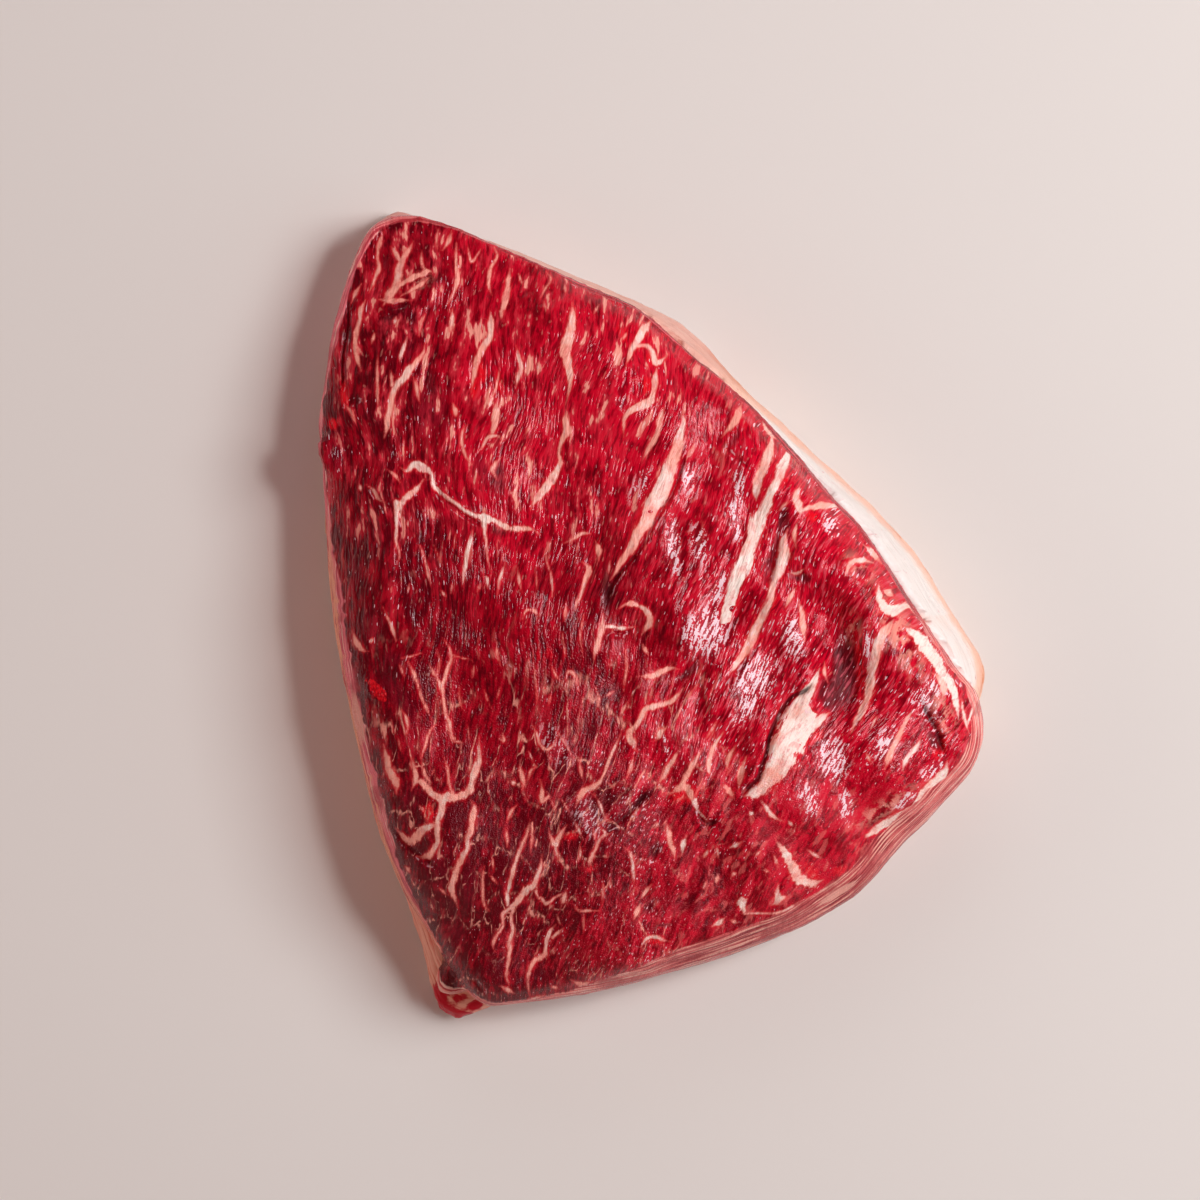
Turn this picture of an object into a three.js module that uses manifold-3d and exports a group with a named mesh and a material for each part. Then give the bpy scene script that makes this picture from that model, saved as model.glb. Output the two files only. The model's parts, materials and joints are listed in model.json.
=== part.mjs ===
// A raw whole picanha (rump cap), lying fat side down with its cut face up.
// Millimetres, +Z up. The origin is the middle of the flat underside; +Y runs to the pointed tip.
// Two sub-parts: the fat cap, a shallow dish of fat that lies on the table, and the lean muscle in it.
import * as THREE from "three";
import { mergeVertices } from "three/addons/utils/BufferGeometryUtils.js";
import Module from "manifold-3d";

// ---- Driving dimensions (mm) ------------------------------------------------------------------

// Point from which both outlines are swept; every edge can be seen from it.
const HUB = [-15, 0];

// The lean muscle's widest outline, anticlockwise from the right corner:
// [x, y, how far the cut face's rim lies inside it].
const LEAN_EDGE = [
  [101.5, -36, 7], [99, -24, 6], [92, -16, 5], [84, -4, 5], [74.5, 10, 6], [64.5, 26, 7], [52.5, 38.5, 6],
  [28, 65.5, 5], [11.5, 79.5, 5], [-0.5, 90.5, 5], [-24.5, 102, 5], [-48, 112.5, 5], [-64.5, 120, 5],
  [-76.5, 121.5, 4], [-86, 118, 5], [-92.5, 105, 5], [-97.5, 88, 6], [-101, 67, 7], [-102.6, 52, 8],
  [-99.5, 33, 8], [-97.5, 10, 8], [-95.5, -14, 8], [-91, -38, 7], [-85, -56, 6], [-78, -79, 5],
  [-69.5, -94, 5], [-61, -108, 5], [-51, -118.5, 5], [-34, -118.5, 6], [-14.5, -114.5, 6],
  [10, -108, 7], [36.5, -99.5, 8], [60.5, -87, 11], [76, -71, 12], [90, -56, 10], [98.5, -46, 8],
];

// The fat cap's outline in the same order: [x, y, height of its upper lip]. On the right it stands
// out beyond the lean and curls up its flank, on the left it is a thin layer under it.
const FAT_EDGE = [
  [100, -36, 15], [101, -25, 20], [103.3, -19.5, 23], [101.8, -13, 25], [95.5, -3, 27], [89.5, 6, 28],
  [84, 16, 28], [75.2, 26.5, 28], [56, 45, 27], [34, 65, 26], [20, 79.5, 26], [9.5, 90, 25],
  [-4, 96.5, 24], [-29, 107, 22], [-48.5, 115, 19], [-66, 121, 14], [-78.5, 125.3, 12], [-86, 121, 10],
  [-91.5, 107, 8], [-97, 88, 7], [-100, 67, 7], [-101, 44, 7], [-100.8, 22, 8], [-98.8, -2, 8],
  [-95, -22, 8], [-89.8, -44, 9], [-85, -65, 11], [-78, -83, 12], [-73.5, -97, 13], [-69.5, -109, 13],
  [-68, -119, 11], [-62, -125.4, 9], [-51, -122, 8], [-36, -116, 7], [-13, -110, 7], [11.5, -103, 7],
  [36.5, -95, 8], [59.5, -82, 9], [76.5, -66, 10], [91, -50, 12],
];

// Heights of the cut face above the table at a few places on it: [x, y, height].
const FACE_HEIGHTS = [
  [-78, 114, 26], [-60, 102, 32], [-85, 66, 36], [-42, 72, 40], [0, 64, 41], [32, 40, 43],
  [62, 6, 45], [88, -26, 40], [72, -52, 44], [40, -62, 48], [0, -60, 49], [-40, -62, 47],
  [-72, -40, 42], [-62, 4, 44], [-4, 4, 46], [-50, -104, 37], [4, -94, 44], [44, -84, 43],
];

const FACE_SOFTNESS = 14; // how gently the face passes from one of these heights to the next

// Long forms in the cut face: seams of fat that stand up, and folds and tears that sink in.
// Each is a run of points with a half width and a rise (negative for a fold).
const FACE_FORMS = [
  { run: [[8, 66], [5, 48], [-2, 31], [-11, 13]], half: 9, rise: 1.8 },
  { run: [[18, 46], [11, 34], [4, 22], [-4, 8], [-8, -4]], half: 9, rise: -2.4 },
  { run: [[44, 46], [37, 36], [30, 24], [22, 2]], half: 9, rise: 1.6 },
  { run: [[27, 2], [20, -8], [12, -16], [4, -18]], half: 10, rise: -2.8 },
  { run: [[50, -16], [43, -25], [40, -35], [36, -44], [29, -55]], half: 10, rise: 2.8 },
  { run: [[37, -12], [30, -24], [26, -36], [22, -46]], half: 9, rise: -2.4 },
  { run: [[-72, 46], [-58, 33], [-45, 26], [-33, 23]], half: 9, rise: -1.8 },
  { run: [[-92, 40], [-90, 20], [-88, 0], [-82, -22]], half: 9, rise: -1.4 },
];

// The deep hollow between the bundles, right of the middle.
const HOLLOW = { from: [53, 0], to: [58, -26], half: 13, depth: 7 };

// Bundles of muscle that swell between the seams in the right half of the cut face: height above
// and below the face, spacing across them, direction in degrees, and where they start along X.
const BUNDLES = { swell: 1.2, spacing: 24, degrees: 35, startX: -20, fullX: 30 };

// Shallow unevenness of the cut face: [wavelength, height, direction in degrees, phase].
const RIPPLES = [
  [47, 0.9, 20, 0.4], [31, 0.6, 105, 2.1], [23, 0.4, 160, 4.4], [17, 0.35, 65, 1.3],
];

// Scraps of lean that hang on the flank: centre, half sizes and turn about Z in degrees.
const SCRAPS = [
  { at: [-99.5, 49, 29], half: [3.6, 6.5, 4.5], turn: 14 },
  { at: [-84.2, -23, 38], half: [4.2, 2.6, 3.2], turn: -42 },
  { at: [-62.5, -112, 15], half: [4.5, 5.5, 4.5], turn: 20 },
];

const ROLL_START = 0.8; // share of the way from the hub to the rim where the cut face curls down
const ROLL_END = 1.25; // where the same curl would end, outside the rim
const ROLL_DROP = 14; // its whole fall, of which the rim has a little under half
const BELLY_HEIGHT = 21; // height at which the lean is widest
const BELLY_SHARE = 0.5; // share of the flank above that height
const LEAN_FOOT = 4; // the lean is made down to here, then cut to the fat it lies in
const FOOT_INSET = 3; // how far the lean's foot lies inside the edge of the fat
const FAT_BED = 11.5; // thickness of the fat under the middle of the lean
const FAT_WALL = 15; // width over which the fat's bed climbs to its lip
const BED_RING = 0.72; // ring of the fat's grid where its bed ends
const LIP_RING = 0.9; // ring of its lip
const STEEP_RAISE = 2.2; // the same gap measured straight up where the fat's wall is steepest
const FAT_EDGE_HEIGHT = 6; // height at which the fat is widest
const FAT_FOOT_INSET = 4; // rounding of the fat's lower edge
const LIP_OVERLAP = 1.2; // how far the lean is made into the lip, then cut to it
const LIP_BAND = 3; // width of the band of fat beyond the lean where that is so in full
const CLEARANCE = 0.3; // gap between the lean and the fat

const LEAN_CELLS = 40; // grid of the cut face, along each side
const LEAN_FLANK_CELLS = 7;
const FAT_CELLS = 26;
const FAT_FLANK_CELLS = 4;
const SCRAP_SIDES = 12;
const SCRAP_RINGS = 8;

// ---- Outlines ---------------------------------------------------------------------------------

const OUTLINE_SAMPLES = 900;
const INDICES_PER_CELL = 6;
const MERGE_DISTANCE = 1e-4;
const FULL_TURN = 2 * Math.PI;

function smoothstep(from, to, value) {
  const share = Math.min(1, Math.max(0, (value - from) / (to - from)));
  return share * share * (3 - 2 * share);
}

function mix(a, b, share) {
  return a + (b - a) * share;
}

// A closed smooth curve through the rows of an outline table, read by its angle about the hub:
// at(angle) gives the distance from the hub and the table's third value there.
class Outline {
  constructor(rows) {
    const curve = new THREE.CatmullRomCurve3(rows.map((row) => new THREE.Vector3(...row)), true);
    this.samples = [];
    for (let i = 0; i < OUTLINE_SAMPLES; i += 1) {
      const point = curve.getPoint(i / OUTLINE_SAMPLES);
      const dx = point.x - HUB[0];
      const dy = point.y - HUB[1];
      const angle = (Math.atan2(dy, dx) + FULL_TURN) % FULL_TURN;
      this.samples.push({ angle, radius: Math.hypot(dx, dy), extra: point.z });
    }
    this.samples.sort((a, b) => a.angle - b.angle);
  }

  at(angle) {
    const wrapped = ((angle % FULL_TURN) + FULL_TURN) % FULL_TURN;
    let low = 0;
    let high = this.samples.length;
    while (low < high) {
      const middle = (low + high) >> 1;
      if (this.samples[middle].angle < wrapped) low = middle + 1;
      else high = middle;
    }
    const after = this.samples[low % this.samples.length];
    const before = this.samples[(low + this.samples.length - 1) % this.samples.length];
    const span = (after.angle - before.angle + FULL_TURN) % FULL_TURN;
    const step = (wrapped - before.angle + FULL_TURN) % FULL_TURN;
    const share = span === 0 ? 0 : Math.min(1, step / span);
    return {
      radius: mix(before.radius, after.radius, share),
      extra: mix(before.extra, after.extra, share),
    };
  }
}

const leanOutline = new Outline(LEAN_EDGE);
const fatOutline = new Outline(FAT_EDGE);

// Angles about the hub that step evenly along the lean's outline: share 0..1 gives an angle.
const evenAngles = (() => {
  const steps = [];
  let length = 0;
  let last = null;
  for (let i = 0; i <= OUTLINE_SAMPLES; i += 1) {
    const angle = (i / OUTLINE_SAMPLES) * FULL_TURN;
    const { radius } = leanOutline.at(angle);
    const point = [radius * Math.cos(angle), radius * Math.sin(angle)];
    if (last) length += Math.hypot(point[0] - last[0], point[1] - last[1]);
    steps.push({ angle, length });
    last = point;
  }
  return (share) => {
    const wanted = share * length;
    let i = 1;
    while (i < steps.length - 1 && steps[i].length < wanted) i += 1;
    const before = steps[i - 1];
    const after = steps[i];
    return mix(before.angle, after.angle, (wanted - before.length) / (after.length - before.length));
  };
})();

// ---- The cut face -----------------------------------------------------------------------------

function distanceToSegment(x, y, a, b) {
  const dx = b[0] - a[0];
  const dy = b[1] - a[1];
  const along = ((x - a[0]) * dx + (y - a[1]) * dy) / (dx * dx + dy * dy);
  const share = Math.min(1, Math.max(0, along));
  return Math.hypot(x - a[0] - share * dx, y - a[1] - share * dy);
}

// 1 on the run of points, 0 at its half width and beyond.
function nearRun(x, y, run, half) {
  let nearest = Infinity;
  for (let i = 1; i < run.length; i += 1) {
    nearest = Math.min(nearest, distanceToSegment(x, y, run[i - 1], run[i]));
  }
  return 1 - smoothstep(0, half, nearest);
}

// Smooth height through the table of face heights, weighted by nearness.
function faceBase(x, y) {
  let sum = 0;
  let weights = 0;
  for (const [px, py, height] of FACE_HEIGHTS) {
    const weight = 1 / ((x - px) ** 2 + (y - py) ** 2 + FACE_SOFTNESS ** 2) ** 2;
    sum += weight * height;
    weights += weight;
  }
  return sum / weights;
}

// A sine wave of the given length that runs across the face in the given direction.
function wave(x, y, wavelength, degrees, phase) {
  const turn = THREE.MathUtils.degToRad(degrees);
  const along = x * Math.cos(turn) + y * Math.sin(turn);
  return Math.sin((FULL_TURN * along) / wavelength + phase);
}

function faceRelief(x, y) {
  let relief = 0;
  for (const form of FACE_FORMS) relief += form.rise * nearRun(x, y, form.run, form.half);
  relief -= HOLLOW.depth * nearRun(x, y, [HOLLOW.from, HOLLOW.to], HOLLOW.half);
  const zone = smoothstep(BUNDLES.startX, BUNDLES.fullX, x);
  relief += BUNDLES.swell * zone * wave(x, y, BUNDLES.spacing, BUNDLES.degrees, 0);
  for (const [wavelength, height, degrees, phase] of RIPPLES) {
    relief += height * wave(x, y, wavelength, degrees, phase);
  }
  return relief;
}

// ---- Warped boxes -----------------------------------------------------------------------------

// Where a point of a box's square section lies: its ring (0 at the middle, 1 at the edge) and how
// far round that ring it is (0..1), from the corner at right below, anticlockwise.
function ringOf(u, v) {
  const ring = Math.max(Math.abs(u), Math.abs(v));
  if (ring < MERGE_DISTANCE) return { ring: 0, round: 0 };
  const across = u / ring;
  const up = v / ring;
  const nearOne = 1 - MERGE_DISTANCE;
  if (across > nearOne) return { ring, round: (up + 1) / 8 };
  if (up > nearOne) return { ring, round: (3 - across) / 8 };
  if (across < -nearOne) return { ring, round: (5 - up) / 8 };
  return { ring, round: (7 + across) / 8 };
}

// A box of cells x cells x flankCells, each vertex moved by place(ring, angle, level), where level
// runs from 0 at the underside to 1 at the top. Returns a closed solid.
function warpedBox(kernel, cells, flankCells, place) {
  const geometry = new THREE.BoxGeometry(2, 2, 1, cells, cells, flankCells);
  geometry.deleteAttribute("normal");
  geometry.deleteAttribute("uv");
  const merged = mergeVertices(geometry, MERGE_DISTANCE);
  const position = merged.getAttribute("position");
  for (let i = 0; i < position.count; i += 1) {
    const { ring, round } = ringOf(position.getX(i), position.getY(i));
    const level = snapLevel(position.getZ(i) + 0.5);
    position.setXYZ(i, ...place(ring, evenAngles(round), level));
  }
  splitByShorterDiagonal(merged);
  return solidFrom(kernel, merged);
}

// Each cell of a box is two triangles, a b d and b c d; it is split from a to c where that is shorter.
function splitByShorterDiagonal(geometry) {
  const { array } = geometry.index;
  const position = geometry.getAttribute("position");
  const corner = (index) => new THREE.Vector3().fromBufferAttribute(position, index);
  for (let i = 0; i < array.length; i += INDICES_PER_CELL) {
    const [a, b, d, , c] = array.slice(i, i + INDICES_PER_CELL);
    if (corner(a).distanceTo(corner(c)) < corner(b).distanceTo(corner(d))) {
      array.set([a, b, c, a, c, d], i);
    }
  }
}

// The top and the underside of a box count as exactly 1 and 0.
function snapLevel(level) {
  if (level > 1 - MERGE_DISTANCE) return 1;
  return level < MERGE_DISTANCE ? 0 : level;
}

function solidFrom(kernel, merged) {
  const vertProperties = new Float32Array(merged.getAttribute("position").array);
  const triVerts = new Uint32Array(merged.index.array);
  return new kernel.Manifold(new kernel.Mesh({ numProp: 3, vertProperties, triVerts }));
}

function polar(radius, angle, height) {
  return [HUB[0] + radius * Math.cos(angle), HUB[1] + radius * Math.sin(angle), height];
}

// ---- The lean muscle --------------------------------------------------------------------------

function placeLean(ring, angle, level) {
  const edge = leanOutline.at(angle);
  const fat = fatOutline.at(angle);
  const belly = edge.radius + LIP_OVERLAP * smoothstep(0, LIP_BAND, fat.radius - edge.radius);
  const rim = edge.radius - edge.extra;
  if (level === 1) {
    const radius = ring * rim;
    const [x, y] = polar(radius, angle, 0);
    const roll = ROLL_DROP * smoothstep(ROLL_START, ROLL_END, ring);
    return [x, y, faceBase(x, y) + faceRelief(x, y) - roll];
  }
  const foot = Math.min(edge.radius, fat.radius) - FOOT_INSET;
  if (level === 0) return polar(ring * foot, angle, LEAN_FOOT);
  const rimHeight = placeLean(1, angle, 1)[2];
  const down = 1 - level;
  if (down < BELLY_SHARE) {
    const share = down / BELLY_SHARE;
    const swell = Math.sin((share * Math.PI) / 2);
    return polar(mix(rim, belly, swell), angle, mix(rimHeight, BELLY_HEIGHT, share));
  }
  const share = (down - BELLY_SHARE) / (1 - BELLY_SHARE);
  const tuck = 1 - Math.cos((share * Math.PI) / 2);
  return polar(mix(belly, foot, tuck), angle, mix(BELLY_HEIGHT, LEAN_FOOT, share));
}

function scrap(kernel, { at, half, turn }) {
  const geometry = new THREE.SphereGeometry(1, SCRAP_SIDES, SCRAP_RINGS);
  geometry.scale(...half);
  geometry.rotateZ(THREE.MathUtils.degToRad(turn));
  geometry.translate(...at);
  geometry.deleteAttribute("normal");
  geometry.deleteAttribute("uv");
  return solidFrom(kernel, mergeVertices(geometry, MERGE_DISTANCE));
}

// ---- The fat cap ------------------------------------------------------------------------------

// growth swells the fat upwards and outwards, for cutting the lean clear of it.
function placeFat(growth) {
  return (ring, angle, level) => {
    const edge = fatOutline.at(angle);
    const lean = leanOutline.at(angle);
    const outer = edge.radius + growth;
    const lipHeight = edge.extra;
    const lip = Math.min(lean.radius, edge.radius - FOOT_INSET);
    const bed = lip - FAT_WALL;
    if (level === 1) {
      if (ring <= BED_RING) return polar((ring / BED_RING) * bed, angle, FAT_BED + growth);
      if (ring <= LIP_RING) {
        const share = (ring - BED_RING) / (LIP_RING - BED_RING);
        const raise = growth * mix(1, STEEP_RAISE, share);
        return polar(mix(bed, lip, share), angle, mix(FAT_BED, lipHeight, share * share) + raise);
      }
      const share = (ring - LIP_RING) / (1 - LIP_RING);
      const fall = mix(lipHeight, FAT_EDGE_HEIGHT, share * share);
      return polar(mix(lip, outer, share), angle, fall + growth * STEEP_RAISE);
    }
    const inset = FAT_FOOT_INSET * (1 - Math.sqrt(level * (2 - level)));
    const radius = (outer - inset) * (level === 0 ? ring : 1);
    return polar(radius, angle, level * (FAT_EDGE_HEIGHT + growth * STEEP_RAISE));
  };
}

// ---- Assembly ---------------------------------------------------------------------------------

function meshFrom(solid, name, material) {
  const { numProp, vertProperties, triVerts } = solid.getMesh();
  const count = vertProperties.length / numProp;
  const position = new Float32Array(count * 3);
  for (let i = 0; i < count; i += 1) {
    position.set(vertProperties.subarray(i * numProp, i * numProp + 3), i * 3);
  }
  const geometry = new THREE.BufferGeometry();
  geometry.setAttribute("position", new THREE.BufferAttribute(position, 3));
  geometry.setIndex(new THREE.BufferAttribute(triVerts, 1));
  geometry.computeVertexNormals();
  const mesh = new THREE.Mesh(geometry, material);
  mesh.name = name;
  return mesh;
}

// The largest body of a cut solid, without the splinters that grazing faces leave.
function mainBody(solid) {
  return solid.decompose().reduce((a, b) => (b.volume() > a.volume() ? b : a));
}

const kernel = await Module();
kernel.setup();

const fatSolid = warpedBox(kernel, FAT_CELLS, FAT_FLANK_CELLS, placeFat(0));
const fatCutter = warpedBox(kernel, FAT_CELLS, FAT_FLANK_CELLS, placeFat(CLEARANCE));
let leanSolid = warpedBox(kernel, LEAN_CELLS, LEAN_FLANK_CELLS, placeLean);
for (const piece of SCRAPS) leanSolid = leanSolid.add(scrap(kernel, piece));
leanSolid = mainBody(leanSolid.subtract(fatCutter));

const leanMaterial = new THREE.MeshStandardMaterial({ color: 0x8e1420, roughness: 0.32, metalness: 0 });
const fatMaterial = new THREE.MeshStandardMaterial({ color: 0xeed6b8, roughness: 0.45, metalness: 0 });

const picanha = new THREE.Group();
picanha.add(meshFrom(fatSolid, "fat_cap", fatMaterial));
picanha.add(meshFrom(leanSolid, "lean_muscle", leanMaterial));

export default picanha;
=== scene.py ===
# %% [markdown]
# # A raw whole picanha
# A picanha is the cap muscle of the rump: a rounded triangle of dark red lean on a layer of fat.
# Here it lies fat side down, cut face up, and the camera looks straight down on it.
# The frame that is loaded first holds two plain solids, the lean and the fat. Blender's share is the
# surface: every seam of fat, fold, tear and fibre, and the wet look of fresh meat.

# %% Load the frame
import json
import math
import bpy
import numpy as np
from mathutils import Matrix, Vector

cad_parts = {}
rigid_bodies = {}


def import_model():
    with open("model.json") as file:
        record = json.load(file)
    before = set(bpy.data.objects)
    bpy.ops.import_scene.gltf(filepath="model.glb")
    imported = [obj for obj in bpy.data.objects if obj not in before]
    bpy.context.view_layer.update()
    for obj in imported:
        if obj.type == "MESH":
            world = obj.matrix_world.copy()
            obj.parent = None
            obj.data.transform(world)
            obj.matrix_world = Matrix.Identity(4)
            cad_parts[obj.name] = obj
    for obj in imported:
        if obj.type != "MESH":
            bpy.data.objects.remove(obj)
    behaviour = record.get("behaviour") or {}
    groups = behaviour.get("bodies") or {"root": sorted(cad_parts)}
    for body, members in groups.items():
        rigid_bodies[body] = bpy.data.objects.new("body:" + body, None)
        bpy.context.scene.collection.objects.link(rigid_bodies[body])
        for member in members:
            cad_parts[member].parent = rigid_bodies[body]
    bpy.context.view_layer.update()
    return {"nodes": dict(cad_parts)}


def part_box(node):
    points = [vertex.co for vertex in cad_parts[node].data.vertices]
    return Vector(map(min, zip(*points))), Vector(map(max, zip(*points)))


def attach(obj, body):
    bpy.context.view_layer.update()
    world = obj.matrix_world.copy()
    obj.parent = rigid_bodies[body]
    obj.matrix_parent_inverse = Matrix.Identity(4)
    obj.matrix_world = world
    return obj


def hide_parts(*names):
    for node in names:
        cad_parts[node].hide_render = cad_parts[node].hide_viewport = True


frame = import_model()

MM = 0.001

# %% [markdown]
# ## The camera
# The photograph was taken from straight above with a long lens, so one millimetre at the table is
# nearly the same everywhere in the picture. The width of the view at the table sets the lens.

# %% Camera
CAMERA_HEIGHT = 1.5
CAMERA_AT = (-0.0161, 0.0045)
VIEW_WIDTH = 0.3724
SENSOR = 36.0

scene = bpy.context.scene
bpy.ops.object.camera_add(location=(*CAMERA_AT, CAMERA_HEIGHT), rotation=(0, 0, 0))
camera = bpy.context.object
camera.name = "camera"
camera.data.sensor_width = SENSOR
camera.data.lens = SENSOR * CAMERA_HEIGHT / VIEW_WIDTH
camera.data.clip_start = 0.05
camera.data.clip_end = 20.0
scene.camera = camera
print("lens (mm):", round(camera.data.lens, 1))

# %% [markdown]
# ## The light
# A big cool lamp on the right draws the soft shadow on the left, and a small one, higher up, lays
# glints on the wet face. Four weak lamps fill in from the sides. They aren't mirrored, because a wet
# face would show each as a grey smear. A dim warm surround reddens the shadows, as meat does. Powers
# and tints were tuned until plain patches of table and meat came out as in the photograph.

# %% Light
scene.view_settings.view_transform = "Standard"
scene.view_settings.look = "None"


def soft_light(name, azimuth, elevation, distance, size, power, tint):
    """A square lamp that looks at the middle of the meat; azimuth 0 stands on +X."""
    turn, lift = math.radians(azimuth), math.radians(elevation)
    place = (
        distance * math.cos(lift) * math.cos(turn),
        distance * math.cos(lift) * math.sin(turn),
        distance * math.sin(lift),
    )
    aim = (0.0, math.pi / 2 - lift, turn)
    bpy.ops.object.light_add(type="AREA", location=place, rotation=aim)
    light = bpy.context.object
    light.name = name
    light.data.size = size
    light.data.energy = power
    light.data.color = tint
    light.visible_glossy = not name.startswith("fill")


GLINT_FROM = (20, 60)
LIGHTS = [
    # name, azimuth, elevation, distance, size, power, tint
    ("key_light", 14, 47, 2.0, 0.92, 27.0, (0.90, 0.97, 1.0)),
    ("glint_light", *GLINT_FROM, 1.3, 0.16, 3.1, (1.0, 1.0, 1.0)),
    ("fill_right", 350, 28, 1.6, 1.1, 5.0, (0.72, 0.92, 1.0)),
    ("fill_top", 95, 28, 1.6, 1.1, 3.8, (0.88, 0.90, 1.0)),
    ("fill_left", 180, 14, 1.6, 1.1, 6.7, (1.0, 1.0, 0.98)),
    ("fill_bottom", 265, 28, 1.6, 1.1, 0.8, (1.0, 1.0, 1.0)),
]
for row in LIGHTS:
    soft_light(*row)

SURROUND_TINT = (1.0, 0.40, 0.28, 1.0)
SURROUND_STRENGTH = 0.15
world = bpy.data.worlds.new("studio")
scene.world = world
world.use_nodes = True
background = world.node_tree.nodes["Background"]
background.inputs["Color"].default_value = SURROUND_TINT
background.inputs["Strength"].default_value = SURROUND_STRENGTH
print("lamps:", len(LIGHTS))

# %% [markdown]
# ## A small language for materials
# Materials are node trees. Wired by hand in code they are hard to read, so one class wraps a socket
# and gives it arithmetic: `1 - mask` adds a Math node. A second class holds a material and makes any
# other node from its type, its settings and the values of its sockets.

# %% Sockets with arithmetic
class Value:
    """A number that changes over the surface: a socket of a material's node tree."""

    def __init__(self, finish, socket):
        self.finish = finish
        self.socket = socket

    def _math(self, operation, a, b):
        return self.finish.node("ShaderNodeMath", {"operation": operation}, {0: a, 1: b})

    def __add__(self, other):
        return self._math("ADD", self, other)

    def __radd__(self, other):
        return self._math("ADD", other, self)

    def __sub__(self, other):
        return self._math("SUBTRACT", self, other)

    def __rsub__(self, other):
        return self._math("SUBTRACT", other, self)

    def __mul__(self, other):
        return self._math("MULTIPLY", self, other)

    def __rmul__(self, other):
        return self._math("MULTIPLY", other, self)

    def __truediv__(self, other):
        return self._math("DIVIDE", self, other)

    def __rtruediv__(self, other):
        return self._math("DIVIDE", other, self)


class Finish:
    """A material, its Principled shader and the nodes that are added to it."""

    def __init__(self, name):
        self.material = bpy.data.materials.new(name)
        self.material.use_nodes = True
        self.tree = self.material.node_tree
        self.shader = self.tree.nodes["Principled BSDF"]

    def link(self, value, socket):
        if isinstance(value, Value):
            self.tree.links.new(value.socket, socket)
        else:
            socket.default_value = value

    def node(self, kind, settings, inputs, out=0):
        """Any node: its settings first, then the values or links of its sockets."""
        made = self.tree.nodes.new(kind)
        for key, setting in settings.items():
            setattr(made, key, setting)
        for key, value in inputs.items():
            self.link(value, made.inputs[key])
        return Value(self, made.outputs[out])

    def set(self, **inputs):
        """Values or links for the shader's own sockets, with _ for a space in a name."""
        for key, value in inputs.items():
            self.link(value, self.shader.inputs[key.replace("_", " ")])

    def attribute(self, name):
        """A field saved on the mesh."""
        return self.node("ShaderNodeAttribute", {"attribute_name": name}, {}, out="Fac")

    def vector(self, x, y, z):
        return self.node("ShaderNodeCombineXYZ", {}, {0: x, 1: y, 2: z})

    def noise(self, x, y, detail=2.0, z=None):
        """Soft noise, 0 to 1 round 0.5, over two coordinates or three."""
        place = self.vector(x, y, 0.0 if z is None else z)
        settings = {"noise_dimensions": "2D" if z is None else "3D"}
        inputs = {"Vector": place, "Scale": 1.0, "Detail": detail, "Roughness": 0.55}
        return self.node("ShaderNodeTexNoise", settings, inputs)

    def ring(self, size, height, detail):
        """Noise that runs round the piece and closes on itself."""
        x, y = self.attribute("ring_x"), self.attribute("ring_y")
        return self.noise(x * size, y * size, detail, z=height)

    def cell_edges(self, x, y):
        """Distance to the nearest edge of a net of cells, each about 1 across."""
        settings = {"feature": "DISTANCE_TO_EDGE", "voronoi_dimensions": "2D"}
        inputs = {"Vector": self.vector(x, y, 0.0), "Scale": 1.0}
        return self.node("ShaderNodeTexVoronoi", settings, inputs)

    def absolute(self, value):
        return self.node("ShaderNodeMath", {"operation": "ABSOLUTE"}, {0: value})

    def step(self, value, low, high):
        """0 below low, 1 above high, smooth between."""
        inputs = {"Value": value, "From Min": low, "From Max": high}
        return self.node("ShaderNodeMapRange", {"interpolation_type": "SMOOTHSTEP"}, inputs)

    def mix(self, share, low, high):
        """The colour low where share is 0 or less, high where it is 1 or more."""
        settings = {"data_type": "RGBA", "clamp_factor": True}
        return self.node("ShaderNodeMix", settings, {0: share, 6: low, 7: high}, out=2)

    def bump(self, height, distance):
        inputs = {"Height": height, "Distance": distance, "Strength": 1.0}
        return self.node("ShaderNodeBump", {}, inputs)


def colour(red, green, blue):
    """A colour as it shows on a screen, 0 to 255, as the linear one that a shader takes."""
    screen = [channel / 255 for channel in (red, green, blue)]
    linear = [c / 12.92 if c <= 0.04045 else ((c + 0.055) / 1.055) ** 2.4 for c in screen]
    return (*linear, 1.0)


print("middle grey of a screen, as light:", round(colour(128, 128, 128)[0], 3))

# %% [markdown]
# ## Noise and lines for shaping the surface
# The meat is shaped by moving vertices in code. Two tools do the work: a smooth noise that gives the
# same numbers on each run, and the distance from each vertex to a line drawn on the face.

# %% Noise
def lattice(cell, seed):
    """A steady pseudo-random number, 0 to 1, for each whole-numbered point."""
    mixed = cell[..., 0] * 73856093 ^ cell[..., 1] * 19349663 ^ cell[..., 2] * 83492791
    mixed = (mixed ^ (seed * 40503)) & 0x7FFFFFFF
    mixed = ((mixed ^ (mixed >> 13)) * 1274126177) & 0x7FFFFFFF
    mixed = ((mixed ^ (mixed >> 16)) * 668265263) & 0x7FFFFFFF
    return mixed / 0x7FFFFFFF


def smooth_noise(points, seed):
    """Noise from -1 to 1 that changes over a distance of one."""
    cell = np.floor(points).astype(np.int64)
    part = points - cell
    part = part * part * part * (part * (part * 6 - 15) + 10)
    total = np.zeros(len(points))
    for dx in (0, 1):
        for dy in (0, 1):
            for dz in (0, 1):
                corner = np.array((dx, dy, dz))
                weight = np.prod(np.where(corner == 1, part, 1 - part), axis=-1)
                total += weight * lattice(cell + corner, seed)
    return total * 2 - 1


def fractal(points, seed, octaves=3):
    """Noise with finer and fainter noise added to it."""
    total = np.zeros(len(points))
    for octave in range(octaves):
        total += smooth_noise(points * 2.0**octave + 17.3 * octave, seed + octave) / 2.0**octave
    return total


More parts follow.
